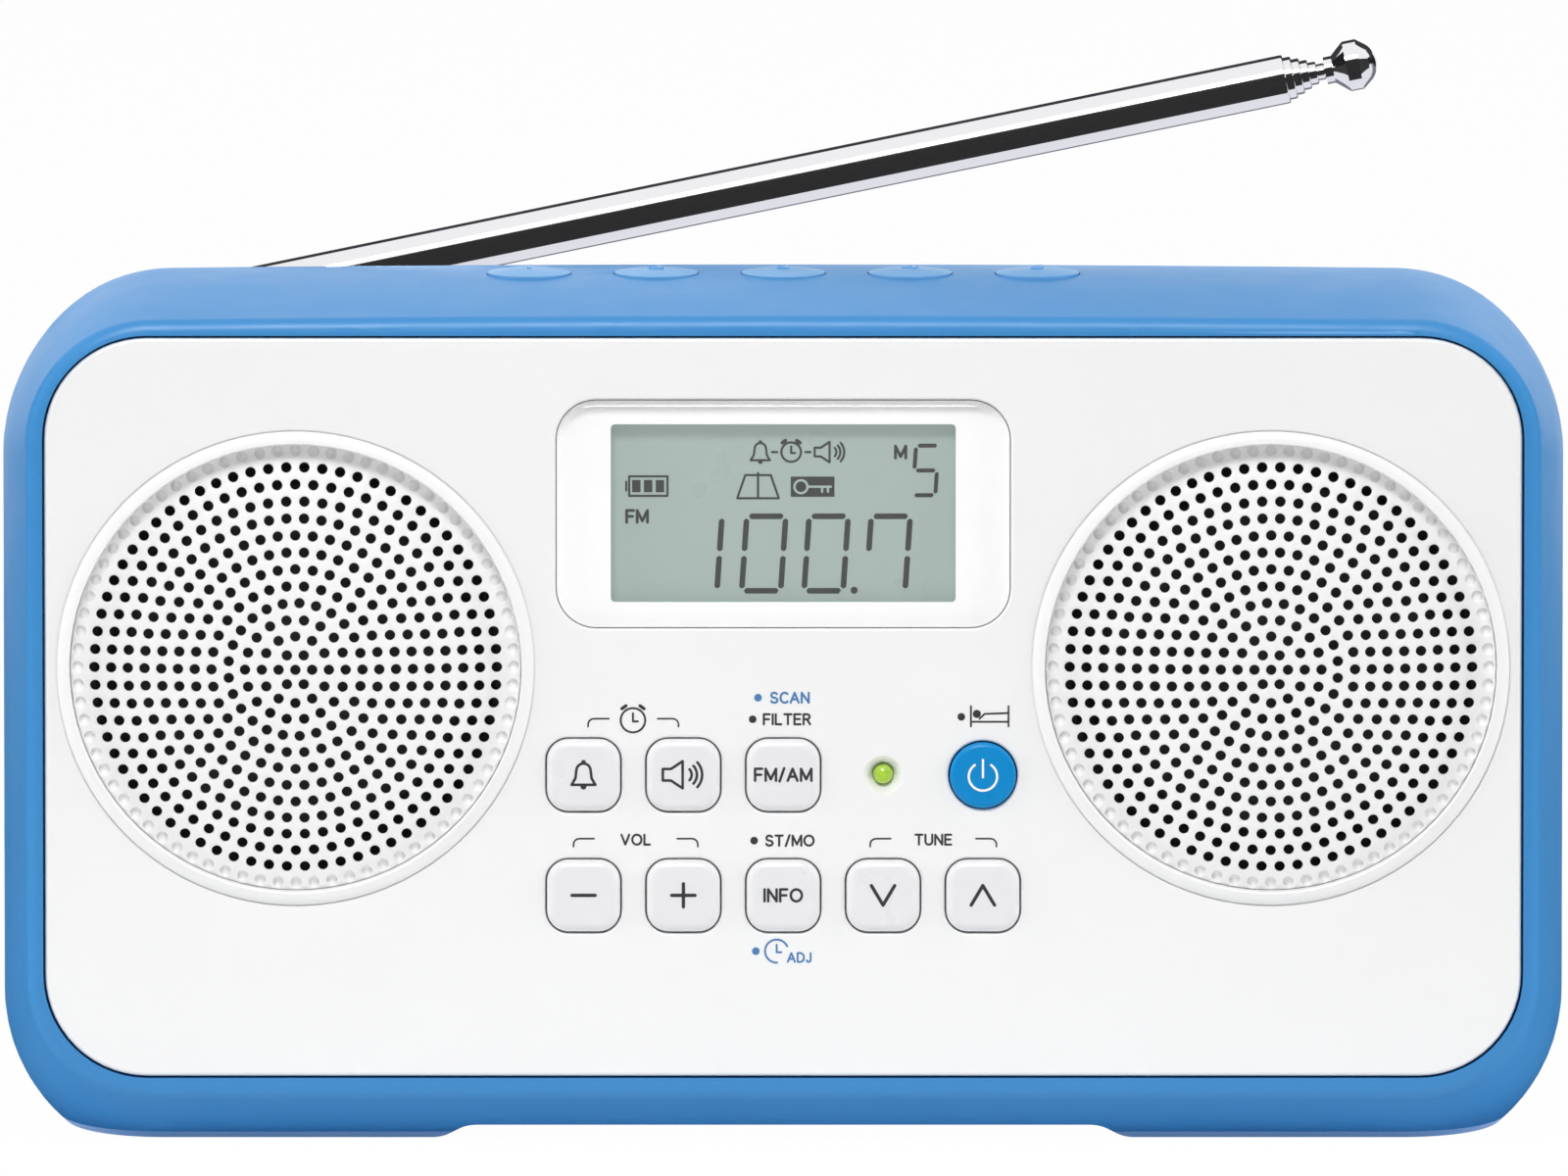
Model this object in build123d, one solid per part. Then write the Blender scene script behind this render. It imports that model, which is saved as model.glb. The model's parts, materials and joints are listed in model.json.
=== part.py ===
from build123d import *
import math
import os

# Tabletop radio: a white front panel in a rounded blue cabinet, with two round grilles, a display,
# keys on the front and on top, a battery bay at the back and a telescopic antenna on a rear ledge.
# Millimetres. X runs to the right, Y from front to back, Z up. The origin is under the base's middle.

# Cabinet
BODY_WIDTH = 215.0
BODY_HEIGHT = 117.7
BODY_DEPTH = 58.0
WALL = 2.5
FLOOR_TOP = 5.0
MID_CORNER = 24.5
END_CORNER = 16.5
SIDE_BULGE = 4.0
TOP_BULGE = 3.2
TOP_CROWN = 0.75
BASE_END = 7.0
BASE_DIP = 6.0
FRONT_ROUND = 2.0
BACK_ROUND = 3.0
RECESS_WIDTH = 84.0
RECESS_RUN = 6.5
RECESS_HEIGHT = 2.2
LEDGE_DEPTH = 9.5
LEDGE_HEIGHT = 13.7
LIP_WIDTH = 2.5
LIP_THICKNESS = 2.0
CUT = 1.0

# Front panel
PANEL_SIDE_BORDER = 6.2
PANEL_TOP_BORDER = 5.8
PANEL_BOTTOM = 9.8
PANEL_CORNER = 14.0
PANEL_THICKNESS = 3.5
PANEL_GAP = 0.3
PANEL_ROUND = 0.6
HOLE_ROUND = 0.4
HOOK_WIDTH = 8.0
HOOK_LEG = 1.4
HOOK_CATCH = 1.2
HOOK_ROOT = 0.5
HOOK_GAP = 0.2
HOOK_PLAY = 0.1

# Grilles and speakers
SPEAKER_SIDE_GAP = 7.9
SPEAKER_LENS_GAP = 3.15
SPEAKER_Z = 66.3
GRILLE_THICKNESS = 0.7
GRILLE_SEAT = 2.0
GRILLE_RECESS = 2.6
GRILLE_GAP = 0.1
GRILLE_HOLE_RADIUS = 0.72
GRILLE_RING_PITCH = 2.3
GRILLE_RING_HOLES = (6, 12, 18, 25, 30, 36, 42, 48, 54, 58, 64, 70)
TRIM_WIDTH = 1.7
TRIM_HEIGHT = 0.8
TRIM_EDGE = 0.2
TRIM_GROOVE = 0.25
BASKET_DEPTH = 15.0
BASKET_WALL = 1.0
BASKET_MARGIN = 0.5
BASKET_LIP = 1.4
SPOKE_WINDOW = 58.0
SPOKE_MARGIN = 2.0
MAGNET_RADIUS = 18.5
MAGNET_LENGTH = 10.5
MAGNET_BACK_PLATE = 4.0
COIL_RADIUS = 8.3
COIL_WALL = 0.5
COIL_GAP = 0.5
COIL_ENTRY = 3.5
CONE_SETBACK = 0.9
CONE_DEPTH = 11.0
CAP_MARGIN = 1.2
CAP_WALL = 0.6
CAP_RISE = 3.6
EAR_RADIUS = 3.2
EAR_HOLE_DEPTH = 2.2
SURROUND_SEAT = 0.6
SURROUND_THICKNESS = 0.4
SURROUND_LAP = 1.0
ROLL_INNER = 4.8
ROLL_OUTER = 1.4
ROLL_DEPTH = 2.2
ROLL_LAP = 0.2

# Display
LENS_WIDTH = 62.1
LENS_HEIGHT = 31.3
LENS_CORNER = 5.4
LENS_THICKNESS = 2.2
LENS_PROUD = 0.5
LENS_ROUND = 1.2
LENS_GAP = 0.15
DISPLAY_Z = 87.6
WINDOW_WIDTH = 47.3
WINDOW_HEIGHT = 24.6
WINDOW_CORNER = 0.6
MASK_THICKNESS = 0.3
MASK_GAP = 0.15
DISPLAY_LEDGE = 2.0
GLASS_WIDTH = 52.0
GLASS_HEIGHT = 30.0
GLASS_THICKNESS = 2.0
BACKLIGHT_THICKNESS = 3.0
BACKLIGHT_BORDER = 0.9
BACKLIGHT_CORNER = 1.0

# Keys on the front
KEY_WIDTH = 10.1
KEY_HEIGHT = 10.0
KEY_CORNER = 3.0
KEY_PITCH = 13.7
KEY_ROW_PITCH = 16.7
KEY_UPPER_Z = 51.5
KEY_PROUD = 0.8
KEY_ROUND = 1.3
KEY_GAP = 0.2
KEY_TRAVEL = 0.6
POWER_KEY_RADIUS = 4.55
POWER_KEY_ROUND = 0.8
FLANGE_RIM = 1.0
FLANGE_THICKNESS = 1.0
FLANGE_GAP = 0.1
TIP_RADIUS = 1.6
TIP_ENTRY = 0.5
SWITCH_SIZE = 6.0
SWITCH_CORNER = 0.6
SWITCH_HEIGHT = 3.0
SWITCH_GAP = 0.15
SWITCH_ROOM = 0.2
LED_RADIUS = 1.4
LED_DISH_RADIUS = 2.7
LED_DISH_DEPTH = 2.0
LED_SUNK = 0.4
LED_COLLAR = 0.5
LED_COLLAR_HEIGHT = 1.0

# Keys on top
PRESET_COUNT = 5
PRESET_PITCH = 17.5
PRESET_RADIUS = 5.75
PRESET_Y = -2.0
PRESET_PROUD = 0.75
PRESET_DOME = 0.65
PRESET_GAP = 0.15
PRESET_TRAVEL = 0.8
PRESET_FLANGE_DROP = 0.8
PRESET_STEM = 3.9
TOP_BOARD_DEPTH = 14.0

# Boards
BOARD_THICKNESS = 1.6
BOARD_POST_RADIUS = 2.3
BOARD_POST_GAP = 0.5
BOARD_EDGE = 1.0
FRONT_BOARD_EDGE = 4.1
FRONT_POST_EDGE = 0.4
FRONT_POST_CLEAR = 2.0
MAIN_BOARD_WIDTH = 90.0
MAIN_BOARD_BOTTOM = 20.0
MAIN_BOARD_TOP = 92.0
MAIN_BOARD_STANDOFF = 4.3
MAIN_POST_SIDE = 3.0
MAIN_POST_RISE = 4.0
MAIN_POST_DROP = 10.0
SHIELD_WIDTH = 34.0
SHIELD_HEIGHT = 28.0
SHIELD_DEPTH = 5.0
SHIELD_WALL = 0.5
SHIELD_CORNER = 1.0
SHIELD_EDGE = 8.0
FERRITE_RADIUS = 4.0
FERRITE_LENGTH = 88.0
FERRITE_Z = 85.0
FERRITE_LIFT = 6.2
FERRITE_COIL_LENGTH = 26.0
FERRITE_COIL_WALL = 1.0
CLIP_WALL = 1.6
CLIP_LENGTH = 6.0
CLIP_MOUTH = 0.8
CLIP_LIP = 0.5
CLIP_INSET = 8.0

# Batteries
CELL_RADIUS = 7.25
CELL_LENGTH = 50.5
CELL_ROUND = 0.7
CELL_NUB_RADIUS = 2.75
CELL_NUB_LENGTH = 1.2
CELL_PITCH = 14.8
CELL_COUNT = 4
BAY_CLEARANCE = 0.25
BAY_END_ROOM = 0.35
BAY_WALL = 2.0
BAY_BOTTOM = 24.0
SPRING_LENGTH = 6.6
SPRING_RADIUS = 4.2
SPRING_WIRE = 0.45
SPRING_TURNS = 3
PLATE_THICKNESS = 0.5
PLATE_SIDE_GAP = 1.0
PLATE_DEPTH_GAP = 0.5
DOOR_BORDER = 3.0
DOOR_THICKNESS = 2.0
DOOR_GAP = 0.15
DOOR_PIN_RADIUS = 0.6
DOOR_PIN_LENGTH = 1.8
THUMB_WIDTH = 7.0
THUMB_DEPTH = 0.9
THUMB_RADIUS = 14.0
THUMB_DROP = 6.0
LABEL_X = 62.0
LABEL_Z = 48.0
LABEL_WIDTH = 36.0
LABEL_HEIGHT = 44.0
LABEL_CORNER = 2.0
LABEL_DEPTH = 0.3

# Sockets
SOCKET_SIDE = 32.5
PHONES_Z = 36.0
PHONES_BORE = 1.8
PHONES_LENGTH = 13.0
PHONES_NOSE = 3.6
SUPPLY_Z = 21.0
SUPPLY_BORE = 3.1
SUPPLY_LENGTH = 10.0
SUPPLY_NOSE = 4.6
SUPPLY_PIN = 1.0
SOCKET_BLOCK = 11.0
SOCKET_END = 2.0
SOCKET_GAP = 0.1

# Screws
SCREW_RADIUS = 1.3
SCREW_HEAD_RADIUS = 2.7
SCREW_HEAD_HEIGHT = 1.9
SCREW_GAP = 0.06
SCREW_CLEARANCE = 0.2
SCREW_SEAT = 2.0
SCREW_POST_RADIUS = 3.4
SCREW_POST_DROP = 4.5
SCREW_POST_FLOOR = 4.0
SCREW_LENGTH = 12.0
SCREW_LOWER_SIDE = 12.0
SCREW_LOWER_Z = 16.0
SCREW_UPPER_SIDE = 8.8
SCREW_UPPER_DROP = 12.0
SMALL_SCREW_RADIUS = 1.0
SMALL_SCREW_LENGTH = 3.2
SMALL_HOLE_DEPTH = 5.0
SMALL_HEAD_RADIUS = 2.1
SMALL_HEAD_HEIGHT = 1.4
SLOT_WIDTH = 0.6
SLOT_SHARE = 0.4

# Antenna
ANTENNA_SIDE = 17.5
ANTENNA_BACK = 4.5
ANTENNA_LIFT = 4.5
ANTENNA_TILT = 11.7
SWIVEL_RADIUS = 4.4
SWIVEL_HEIGHT = 7.9
SWIVEL_GAP = 0.2
SWIVEL_STUB_RADIUS = 2.2
SWIVEL_POCKET_RADIUS = 3.6
SWIVEL_POCKET_DEPTH = 4.0
SWIVEL_HEAD_RADIUS = 3.1
FORK_SLOT = 4.2
PIVOT_RADIUS = 1.2
RUNNING_GAP = 0.05
TONGUE_WIDTH = 4.0
TONGUE_RADIUS = 2.75
TONGUE_GAP = 0.4
TUBE_START = 8.0
TUBE_PLUG = 4.0
TUBE_END = 163.0
TUBE_RADIUS = 3.4
TUBE_WALL = 0.35
TUBE_GAP = 0.1
TUBE_COUNT = 6
TUBE_STEP = 1.1
TUBE_ROUND = 0.25
TUBE_NEST = 0.3
TIP_NECK_RADIUS = 1.9
TIP_NECK_LENGTH = 1.1
TIP_BALL_RADIUS = 3.5
TIP_BALL_BANDS = (1.9, 3.7, 5.0, 6.2)
TIP_END_RADIUS = 2.5

# Places worked out from the sizes above
FRONT = -BODY_DEPTH / 2
BACK = BODY_DEPTH / 2
INNER_BACK = BACK - WALL
PARTING = BACK - LEDGE_DEPTH
LEDGE_FLOOR = BODY_HEIGHT - LEDGE_HEIGHT
PANEL_BACK = FRONT + PANEL_THICKNESS
LIP_BACK = PANEL_BACK + LIP_THICKNESS
PANEL_WIDTH = BODY_WIDTH - 2 * PANEL_SIDE_BORDER
PANEL_TOP = BODY_HEIGHT - PANEL_TOP_BORDER
PANEL_HEIGHT = PANEL_TOP - PANEL_BOTTOM
PANEL_MID = (PANEL_TOP + PANEL_BOTTOM) / 2
TRIM_OUTER_X = BODY_WIDTH / 2 - SPEAKER_SIDE_GAP
TRIM_INNER_X = LENS_WIDTH / 2 + SPEAKER_LENS_GAP
SPEAKER_X = (TRIM_OUTER_X + TRIM_INNER_X) / 2
SPEAKERS = {"left": -SPEAKER_X, "right": SPEAKER_X}
GRILLE_RADIUS = (TRIM_OUTER_X - TRIM_INNER_X) / 2 - TRIM_WIDTH
GRILLE_BACK = FRONT + GRILLE_RECESS
SPEAKER_OPENING = GRILLE_RADIUS - GRILLE_SEAT
SPEAKER_FLANGE_BACK = PANEL_BACK + SURROUND_SEAT + BASKET_WALL
KEY_LOWER_Z = KEY_UPPER_Z - KEY_ROW_PITCH
KEY_FRONT = FRONT - KEY_PROUD
FLANGE_FRONT = PANEL_BACK + FLANGE_GAP
FLANGE_BACK = FLANGE_FRONT + FLANGE_THICKNESS
LENS_FRONT = FRONT - LENS_PROUD
LENS_BACK = LENS_FRONT + LENS_THICKNESS
MASK_BACK = LENS_BACK + MASK_THICKNESS
GLASS_BACK = PANEL_BACK + GLASS_THICKNESS
FRONT_BOARD_FRONT = GLASS_BACK + BACKLIGHT_THICKNESS
FRONT_BOARD_BACK = FRONT_BOARD_FRONT + BOARD_THICKNESS
FRONT_BOARD_HALF = 2 * KEY_PITCH + FRONT_BOARD_EDGE
SWITCH_FRONT = FRONT_BOARD_FRONT - SWITCH_HEIGHT
SWITCH_BORE_DEPTH = TIP_ENTRY + max(KEY_TRAVEL, PRESET_TRAVEL) + SWITCH_ROOM
TIP_END = SWITCH_FRONT + TIP_ENTRY
PRESET_FLANGE_RADIUS = PRESET_RADIUS + FLANGE_RIM
PRESET_TOP = BODY_HEIGHT + PRESET_PROUD
PRESET_FLANGE_TOP = BODY_HEIGHT - WALL - PRESET_FLANGE_DROP
PRESET_TIP = PRESET_FLANGE_TOP - FLANGE_THICKNESS - PRESET_STEM
TOP_SWITCH_TOP = PRESET_TIP + TIP_ENTRY
TOP_BOARD_TOP = TOP_SWITCH_TOP - SWITCH_HEIGHT
LAST_PRESET_X = (PRESET_COUNT - 1) / 2 * PRESET_PITCH
TOP_POST_X = LAST_PRESET_X + PRESET_FLANGE_RADIUS + BOARD_POST_GAP + BOARD_POST_RADIUS
TOP_BOARD_HALF = TOP_POST_X + BOARD_POST_RADIUS + BOARD_EDGE
DOOR_FRONT = BACK - DOOR_THICKNESS
CELL_Y = DOOR_FRONT - BAY_CLEARANCE - CELL_RADIUS
BAY_FLOOR = CELL_Y - CELL_RADIUS - BAY_CLEARANCE
BAY_HALF = (CELL_COUNT - 1) / 2 * CELL_PITCH + CELL_RADIUS + BAY_CLEARANCE
BAY_LENGTH = CELL_LENGTH + SPRING_LENGTH + 2 * PLATE_THICKNESS + BAY_END_ROOM
BAY_TOP = BAY_BOTTOM + BAY_LENGTH
TRAY_FRONT = BAY_FLOOR - BAY_WALL
MAIN_BOARD_BACK = TRAY_FRONT - MAIN_BOARD_STANDOFF
MAIN_BOARD_FRONT = MAIN_BOARD_BACK - BOARD_THICKNESS
DOOR_AXIS_Y = BACK - DOOR_THICKNESS / 2
DOOR_AXIS_Z = BAY_BOTTOM - DOOR_BORDER + DOOR_THICKNESS / 2
SOCKET_X = SOCKET_SIDE - BODY_WIDTH / 2
ANTENNA_X = ANTENNA_SIDE - BODY_WIDTH / 2
PIVOT_Y = BACK - ANTENNA_BACK
PIVOT_Z = LEDGE_FLOOR + ANTENNA_LIFT
SCREW_POST_END = PARTING - SCREW_POST_DROP
SCREW_HEAD_SEAT = SCREW_POST_END + SCREW_SEAT
LOWER_SCREW_X = BODY_WIDTH / 2 - SCREW_LOWER_SIDE
UPPER_SCREW_X = BODY_WIDTH / 2 - SCREW_UPPER_SIDE
UPPER_SCREW_Z = LEDGE_FLOOR - SCREW_UPPER_DROP
SCREW_PLACES = [
    (-LOWER_SCREW_X, SCREW_LOWER_Z), (LOWER_SCREW_X, SCREW_LOWER_Z),
    (-UPPER_SCREW_X, UPPER_SCREW_Z), (UPPER_SCREW_X, UPPER_SCREW_Z),
]
FRONT_POST_X = FRONT_BOARD_HALF - BOARD_POST_RADIUS - FRONT_POST_EDGE
FRONT_POST_LOW = KEY_LOWER_Z - KEY_HEIGHT / 2 - BOARD_POST_RADIUS - FRONT_POST_CLEAR
FRONT_POST_HIGH = DISPLAY_Z + GLASS_HEIGHT / 2 + BOARD_POST_GAP + FRONT_POST_CLEAR
FRONT_POSTS = [(side * FRONT_POST_X, z) for z in (FRONT_POST_LOW, FRONT_POST_HIGH) for side in (-1, 1)]
MAIN_POST_X = BAY_HALF - MAIN_POST_SIDE
MAIN_POST_HEIGHTS = (BAY_BOTTOM + MAIN_POST_RISE, BAY_TOP - MAIN_POST_DROP)
MAIN_POSTS = [(side * MAIN_POST_X, z) for z in MAIN_POST_HEIGHTS for side in (-1, 1)]


# Helpers
def facing(y):
    """Plane at depth y, looking at the front: sketch axes are X and Z."""
    return Plane(origin=(0, y, 0), x_dir=(1, 0, 0), z_dir=(0, -1, 0))


def slab(sketch, front, back):
    """Sketch in X and Z made solid between two depths."""
    return extrude(facing(back) * sketch, amount=back - front)


def block(low, high):
    """Box between two opposite corners."""
    size = [b - a for a, b in zip(low, high)]
    return Pos(*low) * Box(*size, align=(Align.MIN, Align.MIN, Align.MIN))


def upright(radius, bottom, top):
    """Cylinder along Z."""
    return Pos(0, 0, bottom) * Cylinder(radius, top - bottom, align=(Align.CENTER, Align.CENTER, Align.MIN))


def lying(radius, start, end):
    """Cylinder along X."""
    return Pos(start, 0, 0) * Rot(0, 90, 0) * Cylinder(
        radius, end - start, align=(Align.CENTER, Align.CENTER, Align.MIN)
    )


def turned(edges, x, z):
    """Solid turned about the Y direction through (x, z), from a closed outline in (radius, y)."""
    return Pos(x, 0, z) * revolve(make_face(edges), axis=Axis.Y)


def dome(edge, apex):
    """Arc of a dome in (radius, height), from its edge point to its apex on the axis."""
    rise = apex - edge[1]
    ball = (edge[0] ** 2 + rise ** 2) / (2 * rise)
    half_turn = math.asin(edge[0] / abs(ball)) / 2
    middle = (abs(ball) * math.sin(half_turn), apex - ball + ball * math.cos(half_turn))
    return ThreePointArc(edge, middle, (0, apex))


def front_edges(solid):
    """Edges of the face that lies furthest to the front."""
    return solid.faces().sort_by(Axis.Y)[0].edges()


def group(solids):
    """Several separate solids as one shape."""
    return Compound(children=list(solids))


# Cabinet
def cabinet_section(y, inset):
    """Outline of the cabinet at depth y, moved inwards by inset."""
    swell = (y / BACK) ** 2
    half = BODY_WIDTH / 2 - SIDE_BULGE * swell - inset
    top = BODY_HEIGHT - TOP_BULGE * swell - inset
    bottom = (BASE_END + BASE_DIP) * swell - BASE_DIP + inset
    corner = MID_CORNER - (MID_CORNER - END_CORNER) * swell - inset
    shoulder = top - TOP_CROWN
    outline = make_face([
        Line((-half, bottom), (half, bottom)),
        Line((half, bottom), (half, shoulder)),
        ThreePointArc((half, shoulder), (0, top), (-half, shoulder)),
        Line((-half, shoulder), (-half, bottom)),
    ])
    return facing(y) * fillet(outline.vertices(), corner)


def cabinet_form(front, back, inset):
    """Barrel-sided form between two depths."""
    return loft([cabinet_section(y, inset) for y in (front, 0, back)])


def base_recess():
    """Shallow arch under the middle of the base, from front to back."""
    inner = RECESS_WIDTH / 2
    outer = inner + RECESS_RUN
    bend = inner + RECESS_RUN / 2
    profile = make_face([
        Polyline((-outer, 0), (-outer, -CUT), (outer, -CUT), (outer, 0)),
        Bezier((outer, 0), (bend, 0), (bend, RECESS_HEIGHT), (inner, RECESS_HEIGHT)),
        Line((inner, RECESS_HEIGHT), (-inner, RECESS_HEIGHT)),
        Bezier((-inner, RECESS_HEIGHT), (-bend, RECESS_HEIGHT), (-bend, 0), (-outer, 0)),
    ])
    return slab(profile, FRONT - CUT, BACK + CUT)


def cabinet_outside():
    """Whole outer form of the cabinet, standing flat on the base."""
    form = cabinet_form(FRONT, BACK, 0)
    form = fillet(front_edges(form), FRONT_ROUND)
    form = fillet(form.faces().sort_by(Axis.Y)[-1].edges(), BACK_ROUND)
    form &= block((-BODY_WIDTH, FRONT - CUT, 0), (BODY_WIDTH, BACK + CUT, 2 * BODY_HEIGHT))
    return form - base_recess()


def cabinet_hollow():
    """Space inside the cabinet's walls."""
    space = cabinet_form(LIP_BACK, INNER_BACK, WALL)
    return space & block((-BODY_WIDTH, FRONT, FLOOR_TOP), (BODY_WIDTH, BACK, BODY_HEIGHT))


def panel_outline(grow):
    """Outline of the front panel, larger by grow on every side."""
    width = PANEL_WIDTH + 2 * grow
    height = PANEL_HEIGHT + 2 * grow
    return Pos(0, PANEL_MID) * RectangleRounded(width, height, PANEL_CORNER + grow)


def preset_places():
    """X of each key on top."""
    return [(i - (PRESET_COUNT - 1) / 2) * PRESET_PITCH for i in range(PRESET_COUNT)]


def body_band(outside, hollow):
    """Blue front half of the cabinet: band, panel seat, ledge wall, screw posts and key holes."""
    far = BODY_WIDTH
    wall_front = PARTING - WALL
    room = hollow - block((-far, wall_front, LEDGE_FLOOR - WALL), (far, BACK, 2 * BODY_HEIGHT))
    band = outside & block((-far, FRONT - CUT, -CUT), (far, PARTING, 2 * BODY_HEIGHT))
    band -= room
    opening = slab(panel_outline(PANEL_GAP), FRONT - CUT, PANEL_BACK)
    band -= opening
    band -= slab(panel_outline(-LIP_WIDTH), PANEL_BACK - CUT, LIP_BACK + CUT)
    for x, z in SCREW_PLACES:
        post = Pos(x, 0, z) * slab(Circle(SCREW_POST_RADIUS), LIP_BACK - CUT, SCREW_POST_END)
        hole = slab(Circle(SCREW_RADIUS + SCREW_GAP), LIP_BACK + SCREW_POST_FLOOR, SCREW_POST_END + CUT)
        band = band + ((post & outside) - opening) - Pos(x, 0, z) * hole
    for x in preset_places():
        band -= Pos(x, PRESET_Y, 0) * upright(PRESET_RADIUS + PRESET_GAP, LEDGE_FLOOR, BODY_HEIGHT + CUT)
    for x in (-TOP_POST_X, TOP_POST_X):
        post = Pos(x, PRESET_Y, 0) * upright(BOARD_POST_RADIUS, TOP_BOARD_TOP, BODY_HEIGHT - WALL / 2)
        hole = upright(SMALL_SCREW_RADIUS + SCREW_GAP, TOP_BOARD_TOP - CUT, TOP_BOARD_TOP + SMALL_HOLE_DEPTH)
        band = band + (post & outside) - Pos(x, PRESET_Y, 0) * hole
    return band


def rear_cover(outside, hollow):
    """Blue back half of the cabinet: shallow tray with the battery bay, posts, wells and socket holes."""
    far = BODY_WIDTH
    cover = outside & block((-far, PARTING, -CUT), (far, BACK + CUT, LEDGE_FLOOR))
    cover -= hollow & block((-far, FRONT, -CUT), (far, BACK, LEDGE_FLOOR - WALL))
    tray_low = (-BAY_HALF - BAY_WALL, TRAY_FRONT, BAY_BOTTOM - BAY_WALL)
    tray_high = (BAY_HALF + BAY_WALL, DOOR_FRONT, BAY_TOP + BAY_WALL)
    cover += block(tray_low, tray_high)
    for x, z in SCREW_PLACES:
        place = Pos(x, 0, z)
        cover += place * slab(Circle(SCREW_POST_RADIUS), SCREW_POST_END, INNER_BACK)
        cover -= place * slab(Circle(SCREW_RADIUS + SCREW_GAP), SCREW_POST_END - CUT, BACK + CUT)
        cover -= place * slab(Circle(SCREW_HEAD_RADIUS + SCREW_CLEARANCE), SCREW_HEAD_SEAT, BACK + CUT)
    for x, z in MAIN_POSTS:
        place = Pos(x, 0, z)
        cover += place * slab(Circle(BOARD_POST_RADIUS), MAIN_BOARD_BACK, TRAY_FRONT)
        cover -= place * slab(Circle(SMALL_SCREW_RADIUS + SCREW_GAP), MAIN_BOARD_BACK - CUT, TRAY_FRONT)
    cover -= block((-BAY_HALF, BAY_FLOOR, BAY_BOTTOM), (BAY_HALF, BACK + CUT, BAY_TOP))
    cover -= door_recess()
    label = RectangleRounded(LABEL_WIDTH, LABEL_HEIGHT, LABEL_CORNER)
    cover -= Pos(LABEL_X, 0, LABEL_Z) * slab(label, BACK - LABEL_DEPTH, BACK + CUT)
    for z, nose in ((PHONES_Z, PHONES_NOSE), (SUPPLY_Z, SUPPLY_NOSE)):
        cover -= Pos(SOCKET_X, 0, z) * slab(Circle(nose + SOCKET_GAP), INNER_BACK - CUT, BACK + CUT)
    ledge_under = LEDGE_FLOOR - WALL
    stub_hole = upright(SWIVEL_STUB_RADIUS + RUNNING_GAP, ledge_under - CUT, LEDGE_FLOOR + CUT)
    screw_pocket = upright(SWIVEL_POCKET_RADIUS, ledge_under - SWIVEL_POCKET_DEPTH, ledge_under)
    return cover - Pos(ANTENNA_X, PIVOT_Y, 0) * (stub_hole + screw_pocket)


def door_recess():
    """Shallow seat of the battery door, with its two pin holes."""
    half = BAY_HALF + DOOR_BORDER + DOOR_GAP
    low = (-half, DOOR_FRONT, BAY_BOTTOM - DOOR_BORDER - DOOR_GAP)
    high = (half, BACK + CUT, BAY_TOP + DOOR_BORDER + DOOR_GAP)
    reach = BAY_HALF + DOOR_BORDER + DOOR_PIN_LENGTH + DOOR_GAP
    pins = Pos(0, DOOR_AXIS_Y, DOOR_AXIS_Z) * lying(DOOR_PIN_RADIUS + RUNNING_GAP, -reach, reach)
    return block(low, high) + pins


# Front panel
def led_place():
    """X and Z of the small lamp, one pitch left of the power key."""
    return KEY_PITCH, KEY_UPPER_Z


def key_table():
    """Name, X and Z of each square key."""
    upper = ("alarm_buzzer_key", "alarm_radio_key", "band_key")
    lower = ("volume_down_key", "volume_up_key", "display_key", "tuning_down_key", "tuning_up_key")
    rows = ((upper, KEY_UPPER_Z), (lower, KEY_LOWER_Z))
    return [(name, (i - 2) * KEY_PITCH, z) for names, z in rows for i, name in enumerate(names)]


def speaker_ears(x):
    """Places of the four screws round one speaker."""
    reach = GRILLE_RADIUS + TRIM_WIDTH
    turns = [math.radians(45 + 90 * i) for i in range(4)]
    return [(x + reach * math.cos(a), SPEAKER_Z + reach * math.sin(a)) for a in turns]


def speaker_trim(x):
    """Raised ring round one grille: a tight inner edge, then a gentle slope down to the panel."""
    inner = GRILLE_RADIUS
    outer = GRILLE_RADIUS + TRIM_WIDTH
    crest = FRONT - TRIM_HEIGHT
    bend = TRIM_EDGE * (1 - math.sqrt(0.5))
    wall = (inner, crest + TRIM_EDGE)
    corner = (inner + TRIM_EDGE, crest)
    slope = (inner + 0.6 * TRIM_WIDTH, FRONT - 0.75 * TRIM_HEIGHT)
    foot = (outer, FRONT - TRIM_EDGE)
    return turned([
        Line((inner, FRONT + CUT), wall),
        ThreePointArc(wall, (inner + bend, crest + bend), corner),
        ThreePointArc(corner, slope, foot),
        Polyline(foot, (outer, FRONT + CUT), (inner, FRONT + CUT)),
    ], x, SPEAKER_Z)


def panel_hook(x, top):
    """Snap hook that holds the panel behind the lip of the cabinet, at the top or the bottom edge."""
    edge = (PANEL_TOP - LIP_WIDTH if top else PANEL_BOTTOM + LIP_WIDTH)
    out = 1 if top else -1
    near = edge - out * (HOOK_GAP + HOOK_LEG)
    far = edge - out * HOOK_GAP
    tip = far + out * HOOK_CATCH
    half = HOOK_WIDTH / 2
    catch_front = LIP_BACK + HOOK_PLAY
    catch_back = catch_front + HOOK_LEG
    leg = block((x - half, PANEL_BACK - HOOK_ROOT, min(near, far)), (x + half, catch_back, max(near, far)))
    catch = block((x - half, catch_front, min(near, tip)), (x + half, catch_back, max(near, tip)))
    return leg + catch


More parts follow.
